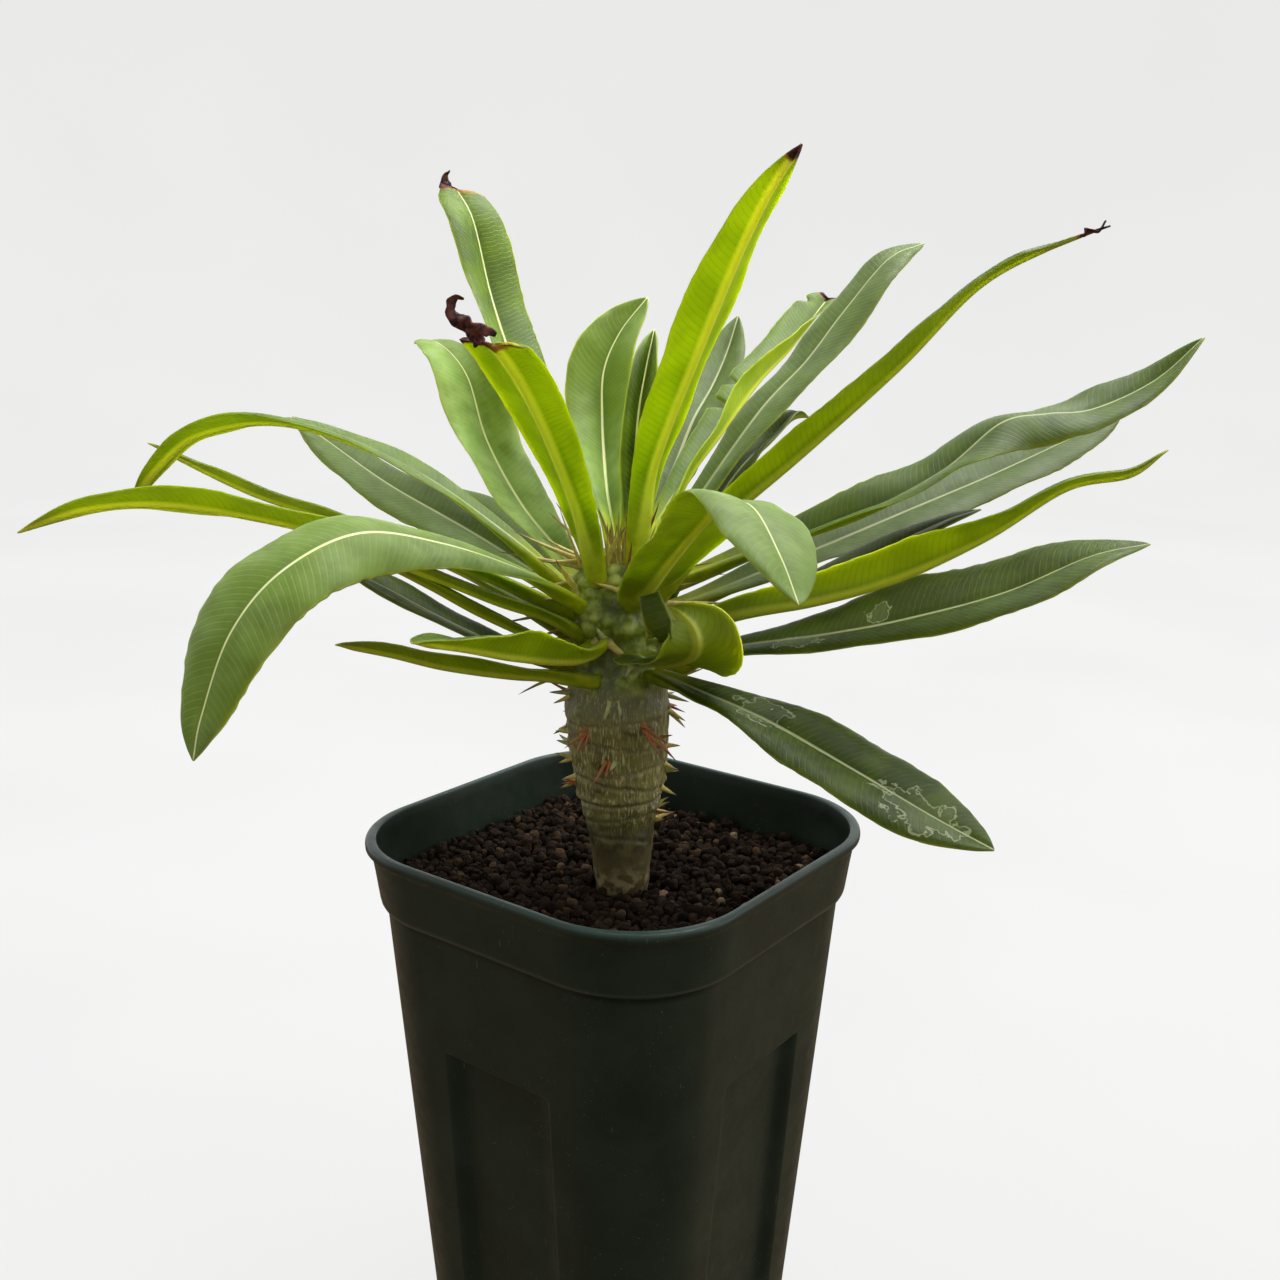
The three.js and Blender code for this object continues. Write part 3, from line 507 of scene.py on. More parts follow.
def bitten(leaf, share, side, length):
    """How much of the half width is left where an edge is torn or cut."""
    left_over = np.ones_like(share)
    for bite_side, place, reach, depth in leaf.get("bites", []):
        near = np.exp(-(((share - place) * length / reach) ** 4))
        left_over = left_over - np.where(side == bite_side, depth * near, 0.0)
    return np.clip(left_over, 0.12, 1.0)


def slanted(leaf, share, across, length):
    """Shares moved on towards the edges, so that rows run as the side veins do."""
    ends = smooth(share, 0, 0.12) * smooth(1 - share, 0, 0.06)
    slant = VEIN_SLANT * across * (1 + 0.5 * across**2) * half_width(leaf, share) * ends
    return np.minimum(share + slant / length, 1.0)


def cut_off(leaf, share, place, length, seed):
    """Shares pulled back to where the tip is cut, and how charred each point is there."""
    if "cut" not in leaf:
        return share, np.zeros_like(share)

    def over_tip(ends):
        left, right = ends
        return (left + right) / 2 + (left - right) / 2 * place

    uneven = lumps(np.stack([9 * place, 0 * place, 0 * place], -1), 1.3, seed)
    limit = over_tip(leaf["cut"]) + 0.008 * uneven
    share = share - (1 - limit) * smooth(share, 0.5, 1.0)
    char = over_tip(leaf.get("charred", (1.0, 1.0)))
    return share, char * smooth(share - limit, -1.6 / length, -0.3 / length)


class Blade:
    """The grid of one leaf: rows from root to tip, and columns round it, upper side first."""

    def __init__(self, leaf, length, seed):
        self.leaf = leaf
        self.length = length
        self.seed = seed
        self.rows = int(length / HALF_VEIN)
        steps = 1 + 0.25 * (np.random.default_rng(seed).random(self.rows) - 0.5)
        row_share = np.concatenate([[0], np.cumsum(steps) / steps.sum()])
        upper = np.concatenate([[-1], -np.array(COLUMNS)[::-1], [0], COLUMNS, [1]])
        self.place = np.concatenate([upper, upper[-2:0:-1]])[None, :]
        self.across = np.abs(self.place)
        self.over = np.where(np.arange(self.place.size) < len(upper), 1.0, 0.0)
        self.over[[0, len(upper) - 1]] = 0.5
        share = np.repeat(row_share[:, None], self.place.size, axis=1)
        self.side = np.sign(self.place) + 0 * share
        share = slanted(leaf, share, self.across, length)
        self.share, self.char = cut_off(leaf, share, self.place, length, seed)
        self.half = half_width(leaf, self.share) * bitten(leaf, self.share, self.side, length)
        self.flat = smooth(self.share, 0.04, 0.3)
        edge_points = np.stack([self.share * length, self.side * 9.0, 0 * self.share], axis=-1)
        ragged = EDGE_RAGGED * self.across**3 * self.flat * lumps(edge_points, 1.6, seed)
        self.distance = self.across * self.half * (1 + ragged)


def blade_lift(blade):
    """How far each point is above the leaf's middle face: thickness, rib, groove, waves and veins."""
    share, across, distance = blade.share, blade.across, blade.distance
    start = np.where(blade.side > 0, 0.2, 0.65) + blade.leaf["heading"] / 90
    turns = share * blade.length / WAVE_LENGTH + start
    fade = smooth(share, 0.1, 0.35) * smooth(1 - share, 0, 0.2)
    spots = np.stack([share * blade.length, blade.place * blade.half, 0 * share], -1)
    wave = EDGE_WAVE * fade * np.sin(2 * math.pi * turns) * across**2
    wave = wave + FLUTTER * fade * across * lumps(spots, 7.0, blade.seed + 3)
    camber = 0.05 * blade.half * np.sin(math.pi * across) * blade.flat
    curl = -EDGE_CURL * smooth(across, 0.8, 1) * blade.flat * smooth(1 - share, 0, 0.1)
    by_row = np.where(np.arange(blade.rows + 1) % 2 == 0, 1.0, -1.0)[:, None]
    crest = by_row * np.where(blade.side < 0, -1.0, 1.0)
    relief = VEIN_RELIEF * crest * blade.flat * smooth(across, 0.03, 0.16) * (1 - smooth(across, 0.8, 1))
    groove = -GROOVE_DEPTH * blade.flat * np.exp(-((distance / 0.8) ** 2))

    thickness = STEM_THICKNESS + (BLADE_THICKNESS - STEM_THICKNESS) * smooth(share, 0, 0.28)
    power = 2.2 + 12 * smooth(share, 0.03, 0.3)
    round_off = np.sqrt(np.maximum(1 - across**power, 0))
    rib = RIB_DEPTH * (1 - 0.6 * share) * np.exp(-((distance / (1.7 - share)) ** 2))
    rib = rib * smooth(1 - share, 0, 0.08)
    top = -thickness / 2 * (1 - round_off) + groove * round_off
    bottom = -thickness / 2 * (1 + round_off) - rib * round_off
    return np.where(blade.over >= 0.5, top, bottom) + wave + camber + curl + relief * round_off


def blade_points(blade, middle, left, up):
    """The grid in space, folded about the midrib and rounded at the root."""
    fold = np.radians(along(blade.leaf["fold"], blade.share))
    if "right_fold" in blade.leaf:
        fold = np.where(blade.side < 0, np.radians(along(blade.leaf["right_fold"], blade.share)), fold)
    slope = np.sqrt(blade.distance**2 + CREASE**2)
    bent = fold * blade.distance / slope
    from_root = np.minimum(blade.share * blade.length / ROOT_ROUNDING, 1)
    closing = 0.4 + 0.6 * np.sqrt(1 - (1 - from_root) ** 2)
    lift = blade_lift(blade)
    aside = closing * blade.side * (blade.distance * np.cos(fold) - np.sin(bent) * lift)
    above = closing * (np.sin(fold) * (slope - CREASE) + np.cos(bent) * lift)
    points = at_share(middle, blade.share) + aside[..., None] * at_share(left, blade.share)
    return points + above[..., None] * at_share(up, blade.share)


def leaf_values(blade):
    """What the material reads at each point: vein, distances, side, share, burns and water marks."""
    burn = blade.char
    for spot_share, spot_place, radius, strength in blade.leaf.get("burns", []):
        away = np.hypot((blade.share - spot_share) * blade.length, blade.place * blade.half - spot_place)
        burn = np.maximum(burn, strength * (1 - smooth(away / radius, 0.6, 1.2)))
    film = 0 * blade.share
    for spot_share, spot_place, reach, spread in blade.leaf.get("films", []):
        ahead = (blade.share - spot_share) * blade.length / reach
        film = np.maximum(film, 1 - np.hypot(ahead, (blade.place * blade.half - spot_place) / spread))
    vein = np.arange(blade.rows + 1)[:, None] / 2 + np.where(blade.side < 0, 0.5, 0.0)
    return {
        "leafmap": np.stack([vein, blade.distance, blade.half - blade.distance], -1),
        "leafmask": np.stack([blade.over + 0 * blade.share, blade.share, burn], -1),
        "leaffilm": np.stack([film, 0 * film, 0 * film], -1),
    }


def make_leaf(key, leaf, seed):
    """One leaf's points, faces and values, with the strips that continue its tip."""
    middle, left, up, length = leaf_frames(leaf)
    blade = Blade(leaf, length, seed)
    skin, faces = capped_tube(blade_points(blade, middle, left, up)[:, ::-1])
    values = {}
    for name, grid in leaf_values(blade).items():
        ends = np.stack([grid[0].mean(0), grid[-1].mean(0)])
        values[name] = np.vstack([grid[:, ::-1].reshape(-1, 3), ends])
    for withered, run in STRIPS.get(key, []):
        strip, strip_faces, strip_values = make_strip(withered, run, len(skin))
        skin = np.vstack([skin, strip])
        faces += strip_faces
        for name in values:
            values[name] = np.vstack([values[name], strip_values[name]])
    # Each leaf's tone: its grey, partly waxy bloom and partly painted sheen; its lightness, partly its own
    # and partly painted light and shade; and its darkening.
    values["leaf_tone_and_light"] = np.tile(leaf["tone"], (len(skin), 1))
    return skin, faces, values


def make_strip(withered, run, first):
    """A thin crumpled strip that continues a leaf, its points, faces and leaf values."""
    table = np.array(run, float)
    places = table[:, :1] * VIEW_RIGHT + table[:, 1:2] * VIEW_NEAR + table[:, 2:3] * UPWARD
    middle, forward, length = curve_through(places, STRIP_ROWS)
    share = np.linspace(0, 1, STRIP_ROWS)
    knots = np.linspace(0, 1, len(table))
    width = np.interp(share, knots, table[:, 3])[:, None]
    turn = np.radians(np.interp(share, knots, table[:, 4]))[:, None]
    flat_way = unit(np.cross(forward, VIEW_NEAR))
    across = flat_way * np.cos(turn) + np.cross(forward, flat_way) * np.sin(turn)
    facing = np.cross(forward, across)
    columns = np.linspace(-1, 1, 11)
    place = np.concatenate([columns, columns[-2:0:-1]])[None, :]
    over = np.where(np.arange(place.size) < len(columns), 1.0, -1.0)
    offset = place * width / 2
    gone = share[:, None] * length + 0 * offset
    spots = np.stack([gone, offset, 0 * offset], -1)
    crumple = withered * 0.35 * lumps(spots, 1.1, 70) + 0.10 * width * place**2
    offset = offset * (1 + withered * 0.25 * lumps(spots, 0.8, 71))
    lift = crumple + 0.16 * over * np.sqrt(1 - place**4)
    points = middle[:, None] + offset[..., None] * across[:, None] + lift[..., None] * facing[:, None]
    skin, faces = capped_tube(points, first)
    edge = width / 2 * (1 - np.abs(place))
    leafmap = np.stack([gone / (2 * HALF_VEIN), np.abs(offset) + 0.6, edge], -1).reshape(-1, 3)
    leafmask = np.tile([1.0, 0.85, withered], (len(leafmap), 1))
    values = {"leafmap": leafmap, "leafmask": leafmask, "leaffilm": 0 * leafmap}
    for name in values:
        values[name] = np.vstack([values[name], values[name][:1], values[name][-1:]])
    return skin, faces, values


def trunk_axis(height):
    """The middle of the trunk, which leans a little aside near the soil."""
    lean = BASE_LEAN * np.clip((150 - np.asarray(height, float)) / 43, 0, 1)
    return lean[..., None] * VIEW_RIGHT + np.asarray(height, float)[..., None] * UPWARD


def trunk_radius(height):
    """The trunk's radius, with the corners of its profile rounded."""
    heights, radii = np.array(TRUNK_PROFILE).T
    fine = np.linspace(heights[0], heights[-1], 400)
    kernel = np.exp(-np.linspace(-2, 2, 13) ** 2)
    padded = np.pad(np.interp(fine, heights, radii), 6, mode="edge")
    return np.interp(height, fine, np.convolve(padded, kernel / kernel.sum(), mode="valid"))


def round_trip(angle):
    """An angle brought to between -pi and pi."""
    return (angle + math.pi) % (2 * math.pi) - math.pi


def leaf_roots():
    """Angle, height and reach of each leaf's root."""
    roots = []
    for leaf in LEAVES.values():
        reach, height, *_ = leaf["path"][0]
        roots.append((math.radians(leaf["heading"]) + VIEW_TURN, height, reach))
    return roots


def bark_swelling(angle, height, random):
    """How far the bark stands out from the plain profile, its scars, its green part and its knobs."""
    radius = trunk_radius(height)
    ring_point = np.stack([radius * np.cos(angle), radius * np.sin(angle), height], -1)
    swell = 0.38 * lumps(ring_point, 6.0, 1) + 0.20 * lumps(ring_point, 2.6, 2)
    swell = swell + 0.12 * lumps(ring_point, [0.55, 0.55, 2.4], 3)
    scar = np.zeros_like(height)
    front = math.atan2(VIEW_NEAR[1], VIEW_NEAR[0])
    for index, (place, depth, tilt, spread) in enumerate(RING_SCARS):
        turn = round_trip(angle - front)
        wobble = 0.6 * lumps(ring_point * [1, 1, 0], 4.0, 20 + index) + tilt * np.sin(turn)
        above = height - place - wobble
        cover = smooth(math.radians(spread) - np.abs(turn), -0.3, 0.2)
        rough = 0.75 + 0.5 * lumps(ring_point * [1, 1, 0], 1.6, 40 + index)
        ledge = 0.75 * np.exp(-(((above - 0.8) / 0.75) ** 2))
        ledge = ledge - np.exp(-(((above + 0.35) / 0.5) ** 2))
        swell = swell + depth * cover * rough * ledge
        scar = np.maximum(scar, cover * np.exp(-(((above + 0.1) / 0.8) ** 2)))
    crown = smooth(height, 150.5, 155)
    knobs = [(a, h, r + 0.9 - trunk_radius(h), 2.6) for a, h, r in leaf_roots()]
    for number, *bounds in KNOBS:
        for _ in range(number):
            knob_height, knob_angle, rise, size = (random.uniform(low, high) for low, high in bounds)
            knobs.append((knob_angle, knob_height, rise, size))
    bump = np.zeros_like(height)
    for knob_angle, knob_height, rise, size in knobs:
        side = round_trip(angle - knob_angle) * radius
        away = (side**2 + (height - knob_height) ** 2) / size**2
        bump = np.maximum(bump, max(rise, 0.5) * np.exp(-away))
    return swell + bump, scar, crown, bump


def make_bark():
    """The trunk's skin with its rings, knobs and domed top."""
    random = np.random.default_rng(5)
    fine = np.arange(BARK_FROM, TRUNK_TOP - 1.4, BARK_ROW)
    heights = np.concatenate([np.linspace(TRUNK_BOTTOM, BARK_FROM, 8)[:-1], fine])
    angles = np.linspace(0, 2 * math.pi, BARK_COLUMNS, endpoint=False)
    angle, height = np.meshgrid(angles, heights)
    swell, scar, crown, bump = bark_swelling(angle, height, random)
    shown = smooth(height, 100, 105) * smooth(TRUNK_TOP - 0.2 - height, 0, 2.4)
    dome = np.sqrt(np.clip((TRUNK_TOP - height) / 3.6, 0, 1))
    radius = np.maximum(trunk_radius(height) + swell * shown, 0.6) * dome
    outward = np.stack([np.cos(angle), np.sin(angle), 0 * angle], -1)
    points, faces = capped_tube(trunk_axis(height) + radius[..., None] * outward)
    rows = np.stack([scar, crown, bump], -1).reshape(-1, 3)
    return points, faces, {"barkmap": np.vstack([rows, rows[:1], rows[-1:]])}


def spine_rings(root, tip, radius, sag):
    """A slender curved cone with a flared foot."""
    share = np.array([0, 0.05, 0.12, 0.25, 0.45, 0.68, 0.88, 1.0])
    girth = np.array([1.9, 1.35, 1.05, 0.9, 0.72, 0.5, 0.26, 0.05])
    way = unit(tip - root)
    aside = unit(np.cross(way, [0.31, 0.12, 0.94]))
    over = np.cross(way, aside)
    length = np.linalg.norm(tip - root)
    angles = np.linspace(0, 2 * math.pi, 7, endpoint=False)
    rings = []
    for along_it, thick in zip(share, girth):
        centre = root + (tip - root) * along_it + sag * length * (along_it - along_it**2) * aside
        spoke = np.cos(angles)[:, None] * aside + np.sin(angles)[:, None] * over
        rings.append(centre + radius * thick * spoke)
    return np.array(rings), share


def all_spines():
    """Every spine as root, tip and kind."""
    random = np.random.default_rng(11)
    spines = []
    for right, height, tip_right, tip_up, kind in FRONT_SPINES:
        radius = trunk_radius(height) + (0.6 if height > CROWN_HEIGHT else 0.1)
        near = math.sqrt(max(radius**2 - right**2, 0))
        root = trunk_axis(height) + unit(right * VIEW_RIGHT + near * VIEW_NEAR + 1e-6) * (radius - 0.5)
        length = math.hypot(tip_right, tip_up)
        lean_near = (0.35 if near > 4 else 0.0) * length
        tip = trunk_axis(height) + (right + tip_right) * VIEW_RIGHT + tip_up * UPWARD
        spines.append((root, tip + near * VIEW_NEAR + lean_near * VIEW_NEAR, kind))
    crown_step = (CROWN_TO - CROWN_FROM) / (CROWN_SPINES - 1)
    for index in range(CROWN_SPINES):
        side = CROWN_FROM + crown_step * (index + random.uniform(-0.4, 0.4))
        near = math.sqrt(max(trunk_radius(177.0) ** 2 - side**2, 9.0)) - random.uniform(0.3, 2.5)
        root = side * VIEW_RIGHT + near * VIEW_NEAR + random.uniform(174, 179) * UPWARD
        tip = root + (0.35 * side + random.uniform(-2, 2)) * VIEW_RIGHT
        tip = tip + random.uniform(0, 2) * VIEW_NEAR + random.uniform(8, 12.5) * UPWARD
        spines.append((root, tip, "crown"))
    back = math.atan2(-VIEW_NEAR[1], -VIEW_NEAR[0])
    for _ in range(BACK_PAIRS):
        angle = back + random.uniform(-1.9, 1.9)
        height = random.uniform(121, 179)
        outward = np.array([math.cos(angle), math.sin(angle), 0])
        aside = np.array([-math.sin(angle), math.cos(angle), 0])
        root = trunk_axis(height) + (trunk_radius(height) - 0.3) * outward
        for turn in (-1, 1):
            length = random.uniform(8, 14) if height > CROWN_HEIGHT else random.uniform(3, 6)
            way = outward + turn * random.uniform(0.3, 0.9) * aside + random.uniform(-0.5, 0.6) * UPWARD
            kind = "tan" if height > CROWN_HEIGHT else random.choice(["orange", "pale", "tan"])
            spines.append((root, root + length * unit(way), kind))
    return spines


def make_spines():
    """All spines in one mesh; a point's values are its share of the way, the tint and a random one."""
    random = np.random.default_rng(12)
    points, faces, values = [], [], []
    total = 0
    for root, tip, kind in all_spines():
        rings, share = spine_rings(root, tip, SPINE_RADIUS[kind], random.uniform(-0.25, 0.25))
        skin, sides = capped_tube(rings, total)
        points.append(skin)
        faces.extend(sides)
        total += len(skin)
        shares = np.concatenate([np.repeat(share, rings.shape[1]), [0, 1]])
        tint = np.full(len(skin), SPINE_TINT[kind])
        values.append(np.stack([shares, tint, np.full(len(skin), random.random())], -1))
    return np.vstack(points), faces, {"spinemap": np.vstack(values)}


def rounded_square(half, corner, steps):
    """Points round a rounded square, corner by corner from the one between +X and +Y."""
    points = []
    for quarter in range(4):
        centre_angle = math.radians(45 + 90 * quarter)
        diagonal = np.array([math.cos(centre_angle), math.sin(centre_angle)])
        centre = (half - corner) * math.sqrt(2) * diagonal
        for step in range(steps + 1):
            angle = math.radians(90 * (quarter + step / steps))
            points.append(centre + corner * np.array([math.cos(angle), math.sin(angle)]))
    return np.array(points)


def raised(ring, height):
    """A flat ring with its height, one for all points or one for each."""
    return np.column_stack([ring, height + np.zeros(len(ring))])


def unit_grain():
    """A ball of 80 faces."""
    phi = (1 + math.sqrt(5)) / 2
    corners = [(-1, phi, 0), (1, phi, 0), (-1, -phi, 0), (1, -phi, 0), (0, -1, phi), (0, 1, phi),
               (0, -1, -phi), (0, 1, -phi), (phi, 0, -1), (phi, 0, 1), (-phi, 0, -1), (-phi, 0, 1)]
    faces = [(0, 11, 5), (0, 5, 1), (0, 1, 7), (0, 7, 10), (0, 10, 11), (1, 5, 9), (5, 11, 4),
             (11, 10, 2), (10, 7, 6), (7, 1, 8), (3, 9, 4), (3, 4, 2), (3, 2, 6), (3, 6, 8),
             (3, 8, 9), (4, 9, 5), (2, 4, 11), (6, 2, 10), (8, 6, 7), (9, 8, 1)]
    points = [np.array(corner) / math.hypot(*corner) for corner in corners]
    halfway = {}

    def middle_of(a, b):
        pair = (min(a, b), max(a, b))
        if pair not in halfway:
            points.append(unit(points[a] + points[b]))
            halfway[pair] = len(points) - 1
        return halfway[pair]

    finer = []
    for a, b, c in faces:
        ab, bc, ca = middle_of(a, b), middle_of(b, c), middle_of(c, a)
        finer += [(a, ab, ca), (b, bc, ab), (c, ca, bc), (ab, bc, ca)]
    return np.array(points), np.array(finer)


def soil_height(x, y):
    """The soil's own height: lowest at the trunk and risen at the walls."""
    return SOIL_TOP + SOIL_RISE * smooth(np.hypot(x, y), 8.0, 36.0)


def chipped(ball, random):
    """A ball with random flat faces cut off it, like a crumb of baked clay."""
    reach = np.ones(len(ball))
    for facing in unit(random.normal(size=(9, 3))):
        lean = ball @ facing
        cut = random.uniform(0.62, 0.85) / np.maximum(lean, 0.1)
        reach = np.minimum(reach, np.where(lean > 0.1, cut, 9.0))
    return ball * (reach * (1 + random.uniform(-0.05, 0.05, len(ball))))[:, None]


def grain_places(random):
    """Where the granules lie and how big they are: an uneven packed layer and loose ones over it."""
    places = []
    reach = int(RIM_HALF / GRAIN_SPACING) + 2
    for row in range(-reach, reach):
        for column in range(-reach, reach):
            x = (column + 0.5 * (row % 2)) * GRAIN_SPACING + random.uniform(-0.45, 0.45)
            y = row * GRAIN_SPACING * 0.87 + random.uniform(-0.45, 0.45)
            places.append((x, y, random.uniform(-1.2, 0.1), random.uniform(0.85, 1.6)))
    for _ in range(LOOSE_GRAINS):
        size = 0.6 + 1.2 * random.random() ** 2
        places.append((random.uniform(-41, 41), random.uniform(-41, 41), random.uniform(0.1, 0.7), size))
    limit = RIM_HALF - LIP_WIDTH - 1.2
    kept = []
    for x, y, above, size in places:
        corner = math.hypot(max(abs(x) - 20, 0), max(abs(y) - 20, 0))
        height = float(soil_height(x, y)) + above
        trunk = trunk_axis(height)
        from_trunk = math.hypot(x - trunk[0], y - trunk[1]) - trunk_radius(height)
        inside = max(abs(x), abs(y)) + size < limit and corner + size < limit - 20
        if inside and from_trunk > size * 0.6:
            kept.append((x, y, height, size))
    return kept


def make_grains(kept, seed):
    """Loose granules over the soil, each one a chipped crumb."""
    random = np.random.default_rng(seed)
    ball, ball_faces = unit_grain()
    points, faces, values = [], [], []
    for x, y, height, size in kept:
        turn, _ = np.linalg.qr(random.normal(size=(3, 3)))
        shape = chipped(ball, random) * random.uniform(0.75, 1.15, 3) * size
        grain = shape @ (turn * np.sign(np.linalg.det(turn))).T + [x, y, height]
        faces.extend((ball_faces + len(ball) * len(points)).tolist())
        points.append(grain)
        tan = random.random() + 0.012 * (x * VIEW_RIGHT[0] + y * VIEW_RIGHT[1]) / 40
        values.append(np.tile([random.random(), tan, random.random()], (len(ball), 1)))
    return np.vstack(points), faces, {"grainmap": np.vstack(values)}


def make_soil_bed():
    """The filled body of the soil under its granules, with an uneven top."""
    rings = []
    for height in (FLOOR + 0.3, 8.0, 40.0, 75.0, 100.0):
        ring = rounded_square(body_half(height) - SOIL_GAP, corner_size(height) - SOIL_GAP, 10)
        rings.append(raised(panel_pressed(ring, height, 0.0) * 0.99, height))
    for shrink in np.linspace(1.0, 0.02, 30):
        ring = rounded_square((RIM_HALF - LIP_WIDTH - 1.9) * shrink, (RIM_CORNER - 4) * shrink, 10)
        height = soil_height(ring[:, 0], ring[:, 1]) - 1.2 + 0.4 * lumps(raised(ring, 0.0), 4.0, 60)
        rings.append(raised(ring, height))
    points, faces = capped_tube(np.array(rings))
    return points, faces, {"grainmap": np.tile([0.1, 0.0, 0.5], (len(points), 1))}


def body_half(height):
    """Half the body's width under the collar."""
    return BASE_HALF + (BODY_TOP_HALF - BASE_HALF) / (POT_HEIGHT - COLLAR_HEIGHT) * height


def corner_size(height):
    """The radius of the body's corners under the collar."""
    return BASE_CORNER + (BODY_CORNER - BASE_CORNER) / (POT_HEIGHT - COLLAR_HEIGHT) * height


def panel_pressed(ring, height, spare):
    """The ring with its four sides pushed in where the panels lie."""
    tall = np.clip((PANEL_TOP + spare - height) / 0.35, 0, 1)
    tall = tall * np.clip((height - PANEL_BOTTOM + spare) / 0.8, 0, 1)
    pressed = ring.copy()
    for axis in (0, 1):
        other = 1 - axis
        flat = np.abs(ring[:, axis]) > np.abs(ring[:, other])
        share = np.clip((PANEL_HALF - np.abs(ring[:, other])) / PANEL_SLOPE, 0, 1)
        eased = share - 0.09 * np.sin(2 * math.pi * share)
        push = PANEL_DEPTH * tall * eased * flat
        pressed[:, axis] -= np.sign(ring[:, axis]) * push
    return pressed


def pot_ring(half, corner, height, panel_at=None, spare=0.0):
    """A ring of the pot: 24 steps a corner, and columns on each side that follow the panel's flanks."""
    points = []
    flat = half - corner
    marks = np.array([1.0, 0.98, 0.9, 0.8, 0.65, 0.5, 0.35, 0.2, 0.1, 0.02, 0.0])
    flank = PANEL_HALF - PANEL_SLOPE * (1 - marks)
    floor = np.linspace(PANEL_HALF - PANEL_SLOPE, 0, 6)[1:]
    offsets = np.concatenate([[PANEL_HALF + 0.3], flank, floor]) * min(1.0, flat / (PANEL_HALF + 0.6))
    offsets = np.concatenate([offsets, -offsets[-2::-1]])
    for quarter in range(4):
        turn = math.radians(90 * quarter)
        cos, sin = math.cos(turn), math.sin(turn)
        side = [(half, -y) for y in offsets]
        arc_angles = np.radians(np.linspace(0, 90, 25))
        arc = [(flat + corner * math.cos(a), flat + corner * math.sin(a)) for a in arc_angles]
        points += [(x * cos - y * sin, x * sin + y * cos) for x, y in side + arc]
    ring = np.array(points)
    if panel_at is not None:
        ring = panel_pressed(ring, panel_at, spare)
    return raised(ring, height)


def make_pot():
    """The moulded pot as one closed skin: up the outside, over the lip and down the inside."""
    rings = []
    base = [(0.0, 1.0), (0.15, 0.6), (0.6, 0.2), (1.5, 0.0)]
    for height, inset in base:
        rings.append(pot_ring(body_half(height) - inset, BASE_CORNER - inset, height))
    body = [4.0, 8.0, 11.0, 12.0, 12.25, 12.5, 12.8, 15.0]
    body += list(np.linspace(20, 76, 15)) + [77.3, 77.65, 77.75, 77.88, 78.0, 78.3, 79.5]
    body += list(np.linspace(83, 104, 6)) + [105.0]
    for height in body:
        rings.append(pot_ring(body_half(height), corner_size(height), height, height))
    top = POT_HEIGHT
    lip = RIM_HALF - LIP_WIDTH
    outside = [
        (105.3, BODY_TOP_HALF + 0.02), (105.4, BODY_TOP_HALF + 0.25), (105.45, COLLAR_HALF - 1.0),
        (105.6, COLLAR_HALF - 0.62), (105.9, COLLAR_HALF - 0.36), (106.4, COLLAR_HALF - 0.14),
        (107.2, COLLAR_HALF), (109.0, COLLAR_HALF + 0.2), (113.0, COLLAR_HALF + 0.62),
        (116.5, RIM_HALF - 1.05), (117.3, RIM_HALF - 0.95), (117.65, RIM_HALF - 0.7),
        (117.9, RIM_HALF - 0.25), (118.2, RIM_HALF - 0.03), (118.8, RIM_HALF), (119.3, RIM_HALF - 0.06),
        (top - 0.35, RIM_HALF - 0.2), (top - 0.1, RIM_HALF - 0.45), (top, RIM_HALF - 0.8),
        (top, lip + 0.45), (top - 0.12, lip + 0.15), (top - 0.45, lip),
    ]
    for height, half in outside:
        rise = float(smooth(height, 105.2, 105.5))
        corner = BODY_CORNER + (COLLAR_CORNER - BODY_CORNER) * rise
        rings.append(pot_ring(half, corner - (RIM_HALF - half) * 0.2, height))
    inner = [(117.0, lip - 0.25), (112.0, 42.0), (107.6, 41.4), (106.8, 41.2), (105.6, 39.8),
             (104.5, 39.3)]
    for height, half in inner:
        rise = float(smooth(height, 105.0, 107.0))
        corner = BODY_CORNER + (COLLAR_CORNER - BODY_CORNER) * rise
        rings.append(pot_ring(half, corner - WALL, height))
    for height in [79.5, 78.6, 78.3, 77.0, 60, 40, 20, 12.5, 11.0, 8.0, FLOOR + 1.0]:
        rings.append(pot_ring(body_half(height) - WALL, corner_size(height) - WALL, height, height, 0.5))
    rings.append(pot_ring(body_half(FLOOR) - WALL - 0.6, BASE_CORNER - WALL, FLOOR))
    points, faces = capped_tube(np.array(rings))
    # The inner wall's points are marked for painted shade inside the pot.
    inside = np.zeros((len(rings), len(rings[0]), 3))
    inside[len(base) + len(body) + len(outside):, :, 0] = 1.0
    inside = np.vstack([inside.reshape(-1, 3), inside[0][:1], inside[-1][:1]])
    return points, faces, {"pot_inside_shade": inside}


def cut_drains(pot):
    """Four drain holes through the pot's base."""
    cutters = []
    for quarter in range(4):
        angle = math.radians(45 + 90 * quarter)
        reach = DRAIN_OFFSET * math.sqrt(2) * MM
        spot = (reach * math.cos(angle), reach * math.sin(angle), FLOOR / 2 * MM)
        bpy.ops.mesh.primitive_cylinder_add(vertices=40, radius=DRAIN_RADIUS * MM, depth=0.008,
                                            location=spot)
        cutters.append(bpy.context.object)
        cut = pot.modifiers.new("drain", "BOOLEAN")
        cut.operation = "DIFFERENCE"
        cut.solver = "EXACT"
        cut.object = cutters[-1]
    bpy.context.view_layer.update()
    finished = pot.evaluated_get(bpy.context.evaluated_depsgraph_get())
    cut_mesh = bpy.data.meshes.new_from_object(finished)
    pot.modifiers.clear()
    pot.data = cut_mesh
    for cutter in cutters:
        bpy.data.objects.remove(cutter, do_unlink=True)


def linear(red, green, blue):
    """A colour given from 0 to 255 as it looks on a screen, for a shader."""
    def one(value):
        value /= 255
        return value / 12.92 if value <= 0.04045 else ((value + 0.055) / 1.055) ** 2.4
    return (one(red), one(green), one(blue), 1.0)


